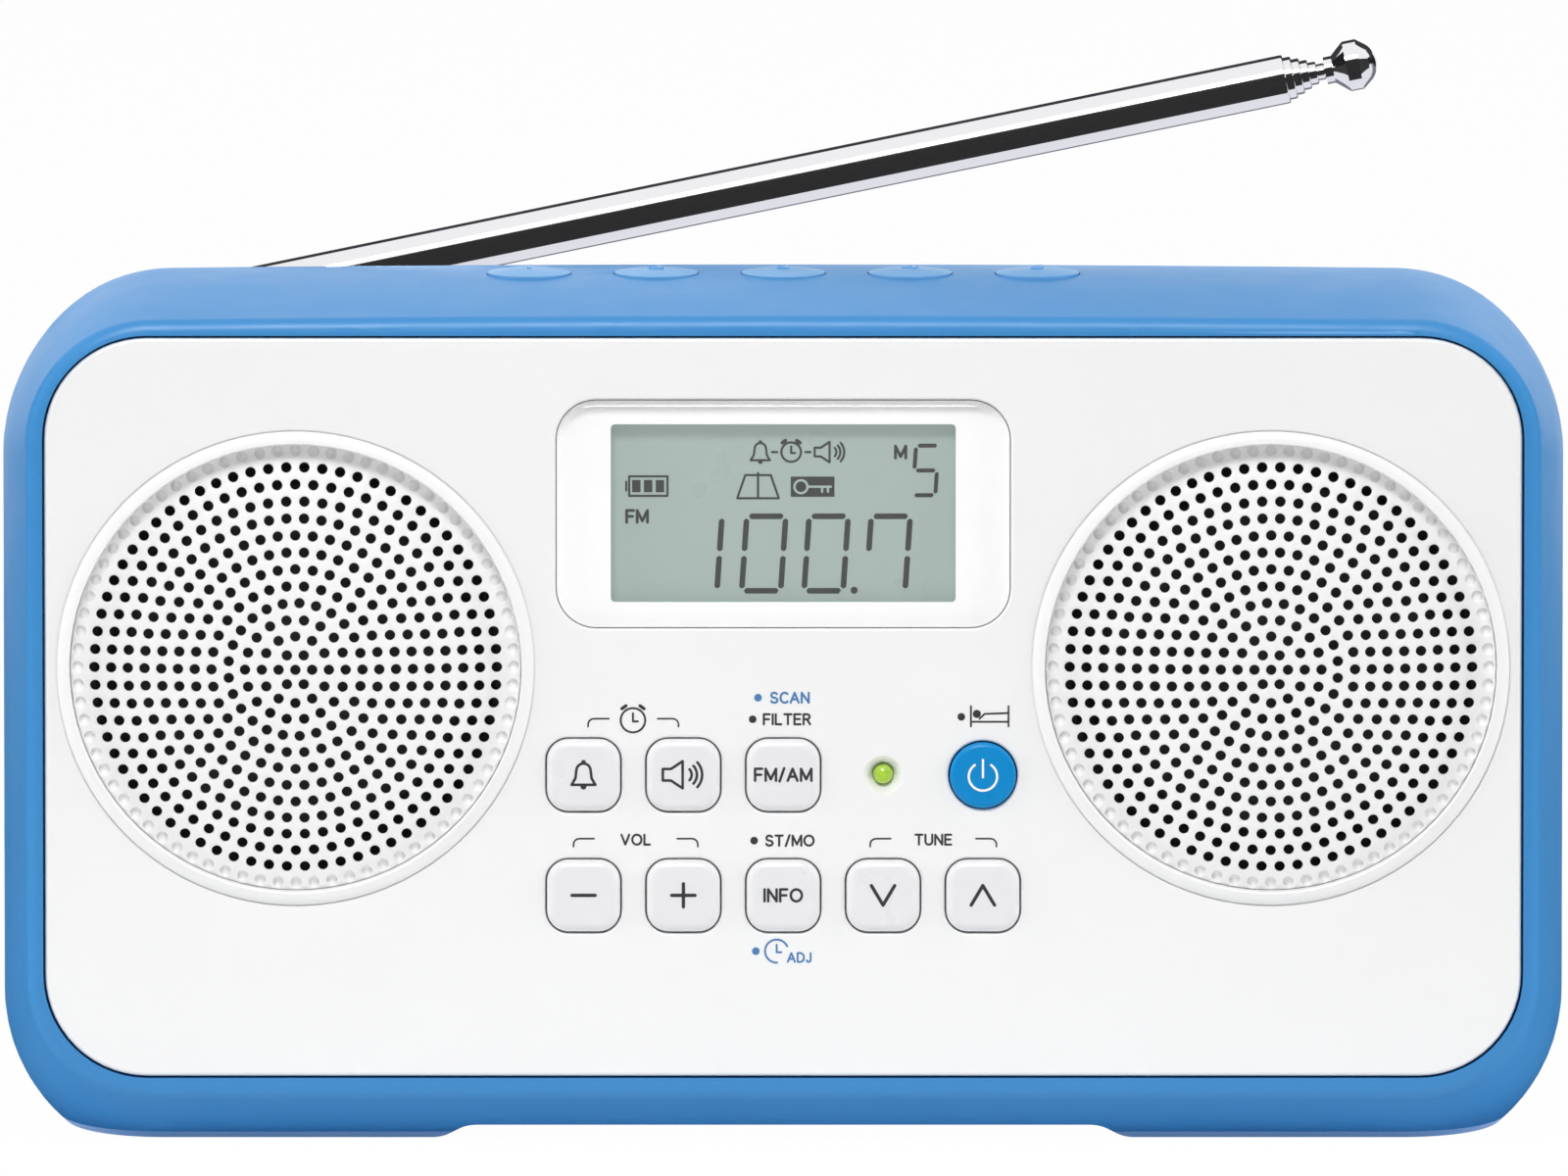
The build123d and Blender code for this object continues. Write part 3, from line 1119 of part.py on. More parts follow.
def build():
    """Every node of the radio by name."""
    outside = cabinet_outside()
    hollow = cabinet_hollow()
    nodes = {
        "front_panel": front_panel(),
        "body_band": body_band(outside, hollow),
        "rear_cover": rear_cover(outside, hollow),
        "battery_door": battery_door(),
        "display_lens": display_lens(),
        "display_mask": display_mask(),
        "lcd_glass": lcd_glass(),
        "lcd_backlight": lcd_backlight(),
        "power_key": power_key(),
        "status_led": status_led(),
        "front_board": front_board(),
        "front_switches": front_switches(),
        "top_board": top_board(),
        "top_switches": top_switches(),
        "main_board": main_board(),
        "tuner_shield": tuner_shield(),
        "ferrite_rod": ferrite_rod(),
        "ferrite_coil": ferrite_coil(),
        "ferrite_clips": ferrite_clips(),
        "headphone_jack": headphone_jack(),
        "dc_jack": dc_jack(),
        "battery_cells": battery_cells(),
        "battery_springs": battery_springs(),
        "battery_plates": battery_plates(),
        "antenna_swivel": antenna_swivel(),
        "antenna_swivel_screw": antenna_swivel_screw(),
        "antenna_pin": antenna_pin(),
        "antenna_tip": antenna_tip(),
        "case_screws": case_screws(),
        "inner_screws": inner_screws(),
    }
    for side, x in SPEAKERS.items():
        nodes[f"{side}_grille"] = grille(x, 1 if side == "left" else -1)
        nodes[f"{side}_speaker_frame"] = speaker_frame(x)
        nodes[f"{side}_speaker_magnet"] = speaker_magnet(x)
        nodes[f"{side}_speaker_cone"] = speaker_cone(x)
        nodes[f"{side}_speaker_surround"] = speaker_surround(x)
    for name, x, z in key_table():
        nodes[name] = square_key(x, z)
    for number, x in enumerate(preset_places(), start=1):
        nodes[f"preset_key_{number}"] = preset_key(x)
    for number in range(1, TUBE_COUNT + 1):
        nodes[f"antenna_tube_{number}"] = antenna_tube(number)
    return nodes


os.makedirs("parts", exist_ok=True)
for name, shape in build().items():
    export_step(shape, f"parts/{name}.step")
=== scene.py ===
import json
import math

import bmesh
import bpy
from mathutils import Matrix, Vector
from mathutils.geometry import delaunay_2d_cdt


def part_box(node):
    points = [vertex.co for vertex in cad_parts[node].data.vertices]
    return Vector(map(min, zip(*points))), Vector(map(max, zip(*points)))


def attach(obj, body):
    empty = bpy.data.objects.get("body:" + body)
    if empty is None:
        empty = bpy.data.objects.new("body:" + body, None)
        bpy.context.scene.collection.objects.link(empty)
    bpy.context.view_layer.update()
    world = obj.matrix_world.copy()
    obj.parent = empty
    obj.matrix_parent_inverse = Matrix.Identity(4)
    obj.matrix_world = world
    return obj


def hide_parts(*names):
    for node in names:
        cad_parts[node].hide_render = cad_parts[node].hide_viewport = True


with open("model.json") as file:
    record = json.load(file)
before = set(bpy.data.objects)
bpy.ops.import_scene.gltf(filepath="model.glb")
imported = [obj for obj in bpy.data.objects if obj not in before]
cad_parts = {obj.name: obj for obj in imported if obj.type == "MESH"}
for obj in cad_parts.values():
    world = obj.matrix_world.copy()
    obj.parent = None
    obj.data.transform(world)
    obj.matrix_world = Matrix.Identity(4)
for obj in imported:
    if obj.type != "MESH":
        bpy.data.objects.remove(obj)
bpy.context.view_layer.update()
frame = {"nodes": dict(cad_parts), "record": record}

# Look of a tabletop radio: materials, domed grilles, print, display and a white studio.
# Lengths are in metres, and MM turns millimetres into them.
MM = 0.001

# The photograph's frame, in pixels, and how it maps to the front of the radio
PHOTO_WIDTH = 1600
PHOTO_CENTRE = (800, 600)
RADIO_MIDDLE_U = 799.2
FRONT_FOOT_V = 1171.3
PIXEL = 0.134375 * MM
VIEW_PITCH = math.radians(7.3)
CAMERA_DISTANCE = 5.0
CAMERA_REACH = 100

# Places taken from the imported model
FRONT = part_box("body_band")[0].y
KEY_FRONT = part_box("band_key")[0].y
LCD_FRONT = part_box("lcd_glass")[0].y
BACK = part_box("rear_cover")[1].y

# Surfaces
NOISE_DETAIL = 2.0
NOISE_RANGE = (0.3, 0.7)
RAMP_RANGE = (0.35, 0.65)
GRAIN_SIZE = 0.35 * MM
GLOSS_PATCH = 9 * MM
GLOSS_SPREAD = 0.03
COLOUR_PATCH = 30 * MM
COLOUR_SPREAD = 0.005
METAL_PATCH = 4 * MM
LENS_PATCH = 20 * MM
LENS_GLOSS = (0.015, 0.03)
LENS_IOR = 1.49
LAMP_PATCH = 0.8 * MM
LAMP_SPREAD = 0.1
TRACK_PATCH = 1.6 * MM
WINDING_WAVE = 3.2 * MM
WINDING_DEPTH = 0.15 * MM

# Grille
GRILLE_RADIUS = 30.88 * MM
GRILLE_RISE = 4.0 * MM
GRILLE_THICKNESS = 0.7 * MM
GRILLE_SIDES = 160
GRILLE_JOINED = 1e-4 * MM
HOLE_RADIUS = 0.72 * MM
HOLE_ROUND = 0.22 * MM
HOLE_ROUND_STEPS = 3
HOLE_SIDES = 18
HOLE_PITCH = 2.30 * MM
HOLES_PER_RING = (6, 12, 18, 25, 30, 36, 42, 48, 54, 58, 64, 70, 76)
DIMPLE_DEPTH = 0.45 * MM

# Print: points nearer than JOINED are one, and letters have lines and gaps in shares of their height
INK_HEIGHT = 0.03 * MM
INK_SUNK = 0.02 * MM
JOINED = 1e-5 * MM
LINE = 0.30 * MM
DOT_SIDES = 20
LINE_END_SIDES = 12
LETTER_LINE = 0.175
LETTER_GAP = 0.30

# Panel: words, dots, brackets and signs at pixels of the photograph, with sizes in millimetres
PANEL_WORDS = (
    ("SCAN", 806, 712, 1.68, "blue"),
    ("FILTER", 803, 734, 1.68, "black"),
    ("VOL", 648.5, 857, 1.66, "black"),
    ("TUNE", 952.5, 857, 1.66, "black"),
    ("ST/MO", 806, 858, 1.68, "black"),
    ("ADJ", 815.5, 977.5, 1.5, "blue"),
)
PANEL_DOT_RADIUS = 0.53 * MM
PANEL_DOTS = (
    (773.5, 712, "blue"),
    (768, 734, "black"),
    (981, 731.5, "black"),
    (769.5, 858, "black"),
    (771.2, 971, "blue"),
)
BRACKET_LINE = 0.23 * MM
BRACKET_BEND = 0.8 * MM
BRACKET_DROP = 1.1 * MM
PANEL_BRACKETS = (
    (621.3, 733.4, 21.3, -1), (671, 733.4, 21.3, 1),
    (606, 856, 21, -1), (691, 856, 21, 1),
    (909, 856, 21, -1), (996, 856, 21, 1),
)
PANEL_SIGNS = (
    ("clock", 645.8, 735, 4.0, 0.28, "black"),
    ("bed", 1010, 731, 2.8, 0.26, "black"),
    ("set_clock", 792.5, 971, 3.2, 0.27, "blue"),
)

# Keys on the front
KEY_SIGN_LIFT = 0.17 * MM
KEY_LINE = 0.36 * MM
KEY_BELL = 4.1 * MM
KEY_SPEAKER = 4.0 * MM
KEY_SPEAKER_SHIFT = 0.1 * MM
KEY_WORD = 2.0 * MM
KEY_BAR = 0.47 * MM
KEY_BAR_REACH = 1.6 * MM
KEY_ARROW_RISE = 1.35 * MM
POWER_LINE = 0.31 * MM
POWER_RADIUS = 1.95 * MM
POWER_ARC = (125, 415)
POWER_DROP = 0.25 * MM
POWER_BAR_FOOT = 0.1 * MM
POWER_BAR_TOP = 2.3 * MM

# Display: places at pixels of the photograph, and digits with their width, height and bar
SEGMENTS = {"0": "abcdef", "1": "bc", "5": "acdfg", "7": "abcf"}
SEGMENT_SLANT = 0.068
SEGMENT_GAP = 0.22
SEGMENT_TIP = 0.35
STATION_SIZE = (5.35 * MM, 10.3 * MM, 0.78 * MM)
STATION_DIGITS = ((691.7, "1"), (756.8, "0"), (820.5, "0"), (883.8, "7"))
STATION_FOOT_V = 602.1
STATION_POINT = (871.6, 601.6)
STATION_POINT_RADIUS = 0.49 * MM
MEMORY_SIZE = (3.1 * MM, 6.85 * MM, 0.56 * MM)
MEMORY_PLACE = (931.3, 504.6)
MEMORY_DIGIT = "5"
DISPLAY_LINE = 0.31 * MM
DISPLAY_LETTER_LINE = 0.2
DISPLAY_WORDS = (("M", 919, 460.6, 2.05), ("FM", 650, 526.2, 2.05))
SIGN_ROW_V = 460.6
SIGN_ROW = (("bell", 775.8, 3.3), ("clock", 807.3, 3.2), ("speaker", 846.5, 3.0))
SIGN_DASHES = (790.4, 824.5)
SIGN_DASH_HALF = 0.35 * MM
BATTERY_PLACE = (660.2, 495.3)
ROAD_PLACE = (773.5, 495.9)
LOCK_PLACE = (829.2, 495.9)
LOCK_HALF_WIDTH = 3.0 * MM
LOCK_HALF_HEIGHT = 1.4 * MM

# Display lens
LENS_CORNER = 5.4 * MM
LENS_GAP = 0.15 * MM
# Depth of the grey strip that paints the shade in the gap round the lens
GAP_SHADE_DEPTH = 0.3 * MM

# Back
SOCKET_SIGN = 5 * MM
SOCKET_SIGN_SHIFT = 10 * MM
RELIEF = 0.25 * MM
ARROW_HALF = 3.2 * MM
ARROW_LENGTH = 4.8 * MM
ARROW_DROP = 16 * MM
DOOR_RIBS = 3
DOOR_RIB_HALF = 5.12 * MM
DOOR_RIB_DROP = 8.5 * MM
DOOR_RIB_PITCH = 2.4 * MM
DOOR_RIB_WIDTH = 0.9 * MM

# Keys on top
PRESET_COUNT = 5
NUMBER_SIZE = 4.6 * MM
NUMBER_HALF_HEIGHT = 0.15 * MM
NUMBER_BEVEL = 0.06 * MM
NUMBER_SUNK = 0.05 * MM

# Floor: its colour and its glow change between two distances from the radio
FLOOR_SIZE = 40
FLOOR_GAP = 0.05 * MM
FLOOR_FADE = (0.15, 0.5)
FLOOR_PALENESS = (0.9, 0.35)
FLOOR_GLOW = (0.18, 0.0)
FLOOR_WHITE_SHARE = 0.98

# Lamps: place, size, power and whether reflections show them
WORLD_LEVEL = 0.15
LAMP_TARGET = Vector((0, 0, 60 * MM))
LAMPS = (
    ("key_softbox", (-0.08, -0.55, 0.70), (0.4, 0.2), 4.2, True),
    ("back_softbox", (0, 1.2, 0.8), (1.6, 0.7), 9, False),
    ("front_fill", (-0.5, -2.3, 0.9), (1.8, 1.2), 1.2, True),
    ("left_fill", (-1.3, -0.15, 0.35), (0.8, 0.8), 9.5, False),
    ("right_fill", (1.3, -0.15, 0.35), (0.8, 0.8), 10.5, False),
)

# Boards and cards that only reflections see; the cards lie round the antenna between two angles
FLAG_REACH = 0.6
FLAG_FOOT = 0.001
FLAG_TOP = 0.42
CARD_RADIUS = 4.7 * MM
CARD_START = -15 * MM
CARD_END = 200 * MM
CARD_STEP = 6
ANTENNA_CARDS = (
    ("antenna_dark_front", -39, 23.5, (44, 43, 44)),
    ("antenna_pale_below", -93, -39, (236, 237, 244)),
    ("antenna_dark_below", -140, -93, (120, 122, 138)),
    ("antenna_dark_behind", 91, 150, (58, 56, 62)),
)


# Colours and materials
def srgb(red, green, blue):
    """Linear colour of a display colour given in levels from 0 to 255."""
    def linear(level):
        share = level / 255
        return share / 12.92 if share <= 0.04045 else ((share + 0.055) / 1.055) ** 2.4
    return (linear(red), linear(green), linear(blue), 1.0)


def shade(colour, factor):
    """A colour made lighter or darker."""
    return (*[min(1.0, part * factor) for part in colour[:3]], 1.0)


class Shader:
    """A material with one Principled shader, and short ways to add nodes to it."""

    def __init__(self, name, colour, roughness, **sockets):
        self.material = bpy.data.materials.new(name)
        self.material.use_nodes = True
        self.tree = self.material.node_tree
        self.main = self.tree.nodes["Principled BSDF"]
        self.set(self.main, Base_Color=colour, Roughness=roughness, **sockets)

    def set(self, node, **sockets):
        for socket, value in sockets.items():
            node.inputs[socket.replace("_", " ")].default_value = value
        return node

    def node(self, kind, **sockets):
        return self.set(self.tree.nodes.new("ShaderNode" + kind), **sockets)

    def link(self, source, output, target, socket):
        self.tree.links.new(source.outputs[output], target.inputs[socket])

    def combined(self, operation, first, output, second=None, second_output=None, value=None):
        """What an operation makes of two outputs, or of an output and a number."""
        node = self.node("Math")
        node.operation = operation
        self.link(first, output, node, 0)
        if second:
            self.link(second, second_output, node, 1)
        else:
            node.inputs[1].default_value = value
        return node

    def ranged(self, source, output, limits, values):
        """An output stretched from its limits to two values."""
        node = self.node("MapRange")
        for index, value in enumerate((*limits, *values), start=1):
            node.inputs[index].default_value = value
        self.link(source, output, node, 0)
        return node

    def noise(self, size):
        """Noise with features of about a given size, fixed to the object."""
        noise = self.node("TexNoise", Scale=1 / size, Detail=NOISE_DETAIL)
        self.link(self.node("TexCoord"), "Object", noise, "Vector")
        return noise

    def fade(self, distances, values, socket):
        """Value that changes with the distance from the middle of the object."""
        distance = self.node("VectorMath")
        distance.operation = "LENGTH"
        self.link(self.node("TexCoord"), "Object", distance, 0)
        self.link(self.ranged(distance, "Value", distances, values), 0, self.main, socket)

    def grain(self, size, depth):
        """Fine relief in the surface."""
        bump = self.node("Bump", Strength=1.0, Distance=depth)
        self.link(self.noise(size), "Fac", bump, "Height")
        self.link(bump, "Normal", self.main, "Normal")

    def uneven_gloss(self, size, low, high):
        """Roughness that wanders a little over the surface."""
        self.link(self.ranged(self.noise(size), "Fac", NOISE_RANGE, (low, high)), 0, self.main, "Roughness")

    def uneven_colour(self, size, *shades):
        """Colour that wanders between two shades."""
        ramp = self.node("ValToRGB")
        for element, position, colour in zip(ramp.color_ramp.elements, RAMP_RANGE, shades):
            element.position = position
            element.color = colour
        self.link(self.noise(size), "Fac", ramp, "Fac")
        self.link(ramp, "Color", self.main, "Base Color")

    def cover(self, share, output, other):
        """Another shader in the place of the main one, by a share."""
        mix = self.node("MixShader")
        self.link(share, output, mix, 0)
        self.link(self.main, 0, mix, 1)
        self.link(other, 0, mix, 2)
        self.link(mix, 0, self.tree.nodes["Material Output"], "Surface")


def moulded(name, colour, roughness, grain_depth, coat=0.0, specular=0.5, glow=0.0):
    """Moulded plastic with a fine spark-eroded grain, and an optional glow that is painted light on the
    surface.
    """
    look = Shader(name, colour, roughness, Coat_Weight=coat, Coat_Roughness=0.2)
    look.set(look.main, Specular_IOR_Level=specular, Emission_Color=colour, Emission_Strength=glow)
    look.grain(GRAIN_SIZE, grain_depth)
    look.uneven_gloss(GLOSS_PATCH, roughness - GLOSS_SPREAD, roughness + GLOSS_SPREAD)
    look.uneven_colour(COLOUR_PATCH, shade(colour, 1 - COLOUR_SPREAD), shade(colour, 1 + COLOUR_SPREAD))
    return look.material


def metal(name, colour, roughness, scratch):
    """Plated metal with a little uneven gloss."""
    look = Shader(name, colour, roughness, Metallic=1.0)
    look.uneven_gloss(METAL_PATCH, roughness, roughness + scratch)
    return look.material


def glass(name):
    """Clear moulded lens that lets light through to what lies behind it."""
    look = Shader(name, (1.0, 1.0, 1.0, 1.0), 0.02, Transmission_Weight=1.0, IOR=LENS_IOR)
    look.uneven_gloss(LENS_PATCH, *LENS_GLOSS)
    rays = look.node("LightPath")
    passing = look.combined("MAXIMUM", rays, "Is Shadow Ray", rays, "Is Diffuse Ray")
    look.cover(passing, 0, look.node("BsdfTransparent", Color=(1.0, 1.0, 1.0, 1.0)))
    return look.material


def lamp(name, colour, glow):
    """Tinted lamp with a soft glow."""
    look = Shader(name, colour, 0.15, Emission_Color=colour, Emission_Strength=glow, Coat_Weight=0.6)
    look.uneven_colour(LAMP_PATCH, shade(colour, 1 - LAMP_SPREAD), shade(colour, 1 + LAMP_SPREAD))
    return look.material


def board(name):
    """Circuit board with copper tracks under green lacquer."""
    look = Shader(name, srgb(24, 92, 52), 0.35, Coat_Weight=0.3)
    look.uneven_colour(TRACK_PATCH, srgb(20, 84, 46), srgb(36, 116, 66))
    return look.material


def winding(name):
    """Copper wire wound tightly along X."""
    look = Shader(name, srgb(176, 104, 58), 0.3, Metallic=1.0)
    turns = look.node("TexWave", Scale=1 / WINDING_WAVE, Distortion=0.0)
    bump = look.node("Bump", Strength=0.8, Distance=WINDING_DEPTH)
    look.link(look.node("TexCoord"), "Object", turns, "Vector")
    look.link(turns, "Fac", bump, "Height")
    look.link(bump, "Normal", look.main, "Normal")
    return look.material


LOOKS = {
    "white_plastic": moulded("panel_white", srgb(246, 246, 246), 0.36, 0.004 * MM),
    "grille_white": moulded("grille_white", srgb(247, 247, 247), 0.34, 0.002 * MM),
    "key_white": moulded("key_white", srgb(235, 235, 237), 0.30, 0.003 * MM),
    "blue_plastic": moulded("cabinet_blue", srgb(60, 140, 204), 0.42, 0.008 * MM),
    "preset_blue": moulded("preset_blue", srgb(104, 168, 222), 0.36, 0.004 * MM),
    "power_key_blue": moulded("power_blue", srgb(0, 138, 206), 0.34, 0.002 * MM, specular=0.3),
    "clear_lens": glass("lens_clear"),
    # The mask's glow is painted light that brightens the white mask behind the lens.
    "white_mask": moulded("mask_white", srgb(252, 252, 252), 0.45, 0.001 * MM, glow=0.08),
    # The cell's glow is painted light that lifts the shade the mask casts on the top of the cell.
    "lcd_cell": moulded("lcd_cell", srgb(146, 160, 155), 0.30, 0.001 * MM, glow=0.35),
    "light_guide": moulded("light_guide", srgb(226, 232, 228), 0.40, 0.002 * MM),
    "lamp_green": lamp("lamp_green", srgb(172, 212, 68), 0.03),
    "circuit_board": board("circuit_board"),
    "black_plastic": moulded("black_plastic", srgb(26, 26, 28), 0.42, 0.006 * MM),
    "plated_steel": metal("plated_steel", srgb(205, 205, 208), 0.22, 0.12),
    "ferrite": moulded("ferrite", srgb(52, 51, 53), 0.55, 0.03 * MM),
    "copper_winding": winding("copper_winding"),
    "cell_jacket": moulded("cell_jacket", srgb(58, 64, 74), 0.30, 0.002 * MM, coat=0.5),
    "cone_paper": moulded("cone_paper", srgb(72, 72, 75), 0.75, 0.05 * MM),
    "surround_rubber": moulded("surround_rubber", srgb(48, 48, 50), 0.6, 0.01 * MM),
    "chrome": metal("antenna_chrome", srgb(238, 238, 240), 0.05, 0.03),
}
INKS = {
    "black": moulded("ink_black", srgb(58, 58, 60), 0.5, 0.001 * MM),
    "blue": moulded("ink_blue", srgb(74, 128, 184), 0.5, 0.001 * MM),
    "white": moulded("ink_white", srgb(250, 250, 250), 0.5, 0.001 * MM),
}
LCD_DARK = moulded("lcd_dark", srgb(38, 42, 42), 0.4, 0.001 * MM)
# Grey of the strip in the gap round the lens: painted shade of the gap
GAP_SHADE_GREY = moulded("painted_gap_shade", srgb(112, 113, 116), 0.6, 0.001 * MM)
FLAG_BLACK = Shader("flag_black", (0.02, 0.02, 0.02, 1.0), 0.9, Specular_IOR_Level=0.0).material


def dress_nodes():
    """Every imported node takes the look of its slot."""
    for subpart in frame["record"]["subparts"]:
        mesh = frame["nodes"][subpart["node"]].data
        mesh.materials.clear()
        mesh.materials.append(LOOKS[subpart["material_slot"]])


# Meshes and points
def add_mesh(name, built, look, body):
    """Turns a built mesh into an object that rides on a body."""
    mesh = bpy.data.meshes.new(name)
    built.normal_update()
    built.to_mesh(mesh)
    built.free()
    mesh.materials.append(look)
    piece = bpy.data.objects.new(name, mesh)
    bpy.context.scene.collection.objects.link(piece)
    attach(piece, body)
    return piece


def at_pixel(u, v, y):
    """X and Z of what the photograph shows at a pixel, at depth y."""
    rise = (FRONT_FOOT_V - v) * PIXEL
    z = (rise - (y - FRONT) * math.sin(VIEW_PITCH)) / math.cos(VIEW_PITCH)
    return (u - RADIO_MIDDLE_U) * PIXEL, z


def circle(centre, radius, sides):
    """Points of a circle in the plane."""
    turns = [2 * math.pi * i / sides for i in range(sides)]
    return [centre + radius * Vector((math.cos(a), math.sin(a))) for a in turns]


def oval(x, z, across, up, start, end, steps=10):
    """Points of part of an oval, from one angle to another in degrees."""
    turns = [math.radians(start + (end - start) * i / steps) for i in range(steps + 1)]
    return [(x + across * math.cos(a), z + up * math.sin(a)) for a in turns]


# Grilles
def grille_holes(mirror):
    """Centres of the holes in one grille, from the middle outwards."""
    centres = [Vector((0, 0))]
    for ring, count in enumerate(HOLES_PER_RING, start=1):
        for i in range(count):
            angle = 2 * math.pi * i / count
            centres.append(Vector((mirror * math.cos(angle), math.sin(angle))) * ring * HOLE_PITCH)
    return centres


def grille_plate(centres):
    """Points and triangles of the flat disc between its rim and the edges of its holes, and those loops."""
    points = circle(Vector((0, 0)), GRILLE_RADIUS, GRILLE_SIDES)
    loops = [list(range(GRILLE_SIDES))]
    for centre in centres:
        loops.append(list(range(len(points), len(points) + HOLE_SIDES)))
        points += circle(centre, HOLE_RADIUS + HOLE_ROUND, HOLE_SIDES)
    edges = [(loop[i - 1], loop[i]) for loop in loops for i in range(len(loop))]
    flat, _, faces, sources, _, _ = delaunay_2d_cdt(points, edges, [], 1, GRILLE_JOINED)
    order = {source: new for new, found in enumerate(sources) for source in found}
    loops = [[order[i] for i in loop] for loop in loops]
    owner = {i: number for number, loop in enumerate(loops) for i in loop}
    kept = [f for f in faces if len({owner.get(i, -1) for i in f}) > 1 or owner.get(f[0], -1) == 0]
    return flat, kept, loops


def dome_depth(radius):
    """How far the domed grille stands in front of its rim at a distance from the middle."""
    ball = (GRILLE_RADIUS ** 2 + GRILLE_RISE ** 2) / (2 * GRILLE_RISE)
    return math.sqrt(ball ** 2 - radius ** 2) - ball + GRILLE_RISE


def rounded_edge():
    """Radius and depth of each step down the rounded edge of a hole."""
    turns = [math.pi / 2 * i / HOLE_ROUND_STEPS for i in range(1, HOLE_ROUND_STEPS + 1)]
    return [(HOLE_RADIUS + HOLE_ROUND * (1 - math.sin(a)), HOLE_ROUND * (1 - math.cos(a))) for a in turns]


def add_grille(side, mirror):
    """Domed grille with rounded holes and an outer ring of dimples, in place of the flat disc."""
    low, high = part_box(f"{side}_grille")
    middle = (low + high) / 2
    centres = grille_holes(mirror)
    built = bmesh.new()

    def vertex(flat, sink):
        y = high.y - GRILLE_THICKNESS - dome_depth(flat.length) + sink
        return built.verts.new((middle.x + flat.x, y, middle.z + flat.y))

    flat, faces, loops = grille_plate(centres)
    front = [vertex(p, 0) for p in flat]
    back = [vertex(p, GRILLE_THICKNESS) for p in flat]
    for face in faces:
        built.faces.new([front[i] for i in reversed(face)])
        built.faces.new([back[i] for i in face])
    rim = loops[0]
    for i in range(len(rim)):
        built.faces.new([front[rim[i - 1]], front[rim[i]], back[rim[i]], back[rim[i - 1]]])
    edge = rounded_edge()
    first_dimple = len(centres) - HOLES_PER_RING[-1]
    for number, (centre, loop) in enumerate(zip(centres, loops[1:])):
        dimple = number >= first_dimple
        foot = (HOLE_RADIUS, DIMPLE_DEPTH if dimple else GRILLE_THICKNESS)
        rows = [[front[i] for i in loop]]
        for radius, sink in edge + [foot]:
            rows.append([vertex(p, sink) for p in circle(centre, radius, HOLE_SIDES)])
        mouth = [back[i] for i in loop]
        if dimple:
            built.faces.new(rows[-1])
            built.faces.new(mouth)
        else:
            rows.append(mouth)
        for upper, lower in zip(rows, rows[1:]):
            for i in range(HOLE_SIDES):
                built.faces.new([upper[i], upper[i - 1], lower[i - 1], lower[i]])
    bmesh.ops.recalc_face_normals(built, faces=built.faces[:])
    for face in built.faces:
        face.smooth = True
    piece = add_mesh(f"{side}_domed_grille", built, LOOKS["grille_white"], "cabinet")
    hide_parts(f"{side}_grille")


# Strokes of plain capitals that are one unit high
LETTERS = {
    "A": [[(0, 0), (0.4, 1), (0.8, 0)], [(0.14, 0.34), (0.66, 0.34)]],
    "C": [oval(0.42, 0.5, 0.42, 0.5, 48, 312, 16)],
    "D": [[(0, 0), (0, 1)] + oval(0.28, 0.5, 0.42, 0.5, 90, -90) + [(0, 0)]],
    "E": [[(0.6, 1), (0, 1), (0, 0), (0.6, 0)], [(0, 0.52), (0.52, 0.52)]],
    "F": [[(0.58, 1), (0, 1), (0, 0)], [(0, 0.5), (0.5, 0.5)]],
    "I": [[(0, 0), (0, 1)]],
    "J": [[(0.44, 1), (0.44, 0.24)] + oval(0.22, 0.24, 0.22, 0.24, 0, -165)],
    "L": [[(0, 1), (0, 0), (0.55, 0)]],
    "M": [[(0, 0), (0, 1), (0.43, 0.12), (0.86, 1), (0.86, 0)]],
    "N": [[(0, 0), (0, 1), (0.7, 0), (0.7, 1)]],
    "O": [oval(0.46, 0.5, 0.46, 0.5, 0, 360, 24)],
    "R": [[(0, 0), (0, 1)] + oval(0.34, 0.75, 0.26, 0.25, 90, -90) + [(0, 0.5)], [(0.34, 0.5), (0.64, 0)]],
    "S": [oval(0.32, 0.75, 0.29, 0.25, 25, 270) + oval(0.32, 0.25, 0.32, 0.25, 90, -160)],
    "T": [[(0, 1), (0.7, 1)], [(0.35, 1), (0.35, 0)]],
    "U": [[(0, 1)] + oval(0.34, 0.32, 0.34, 0.32, 180, 360) + [(0.68, 1)]],
    "V": [[(0, 1), (0.39, 0), (0.78, 1)]],
    "/": [[(0, -0.05), (0.38, 1.05)]],
}


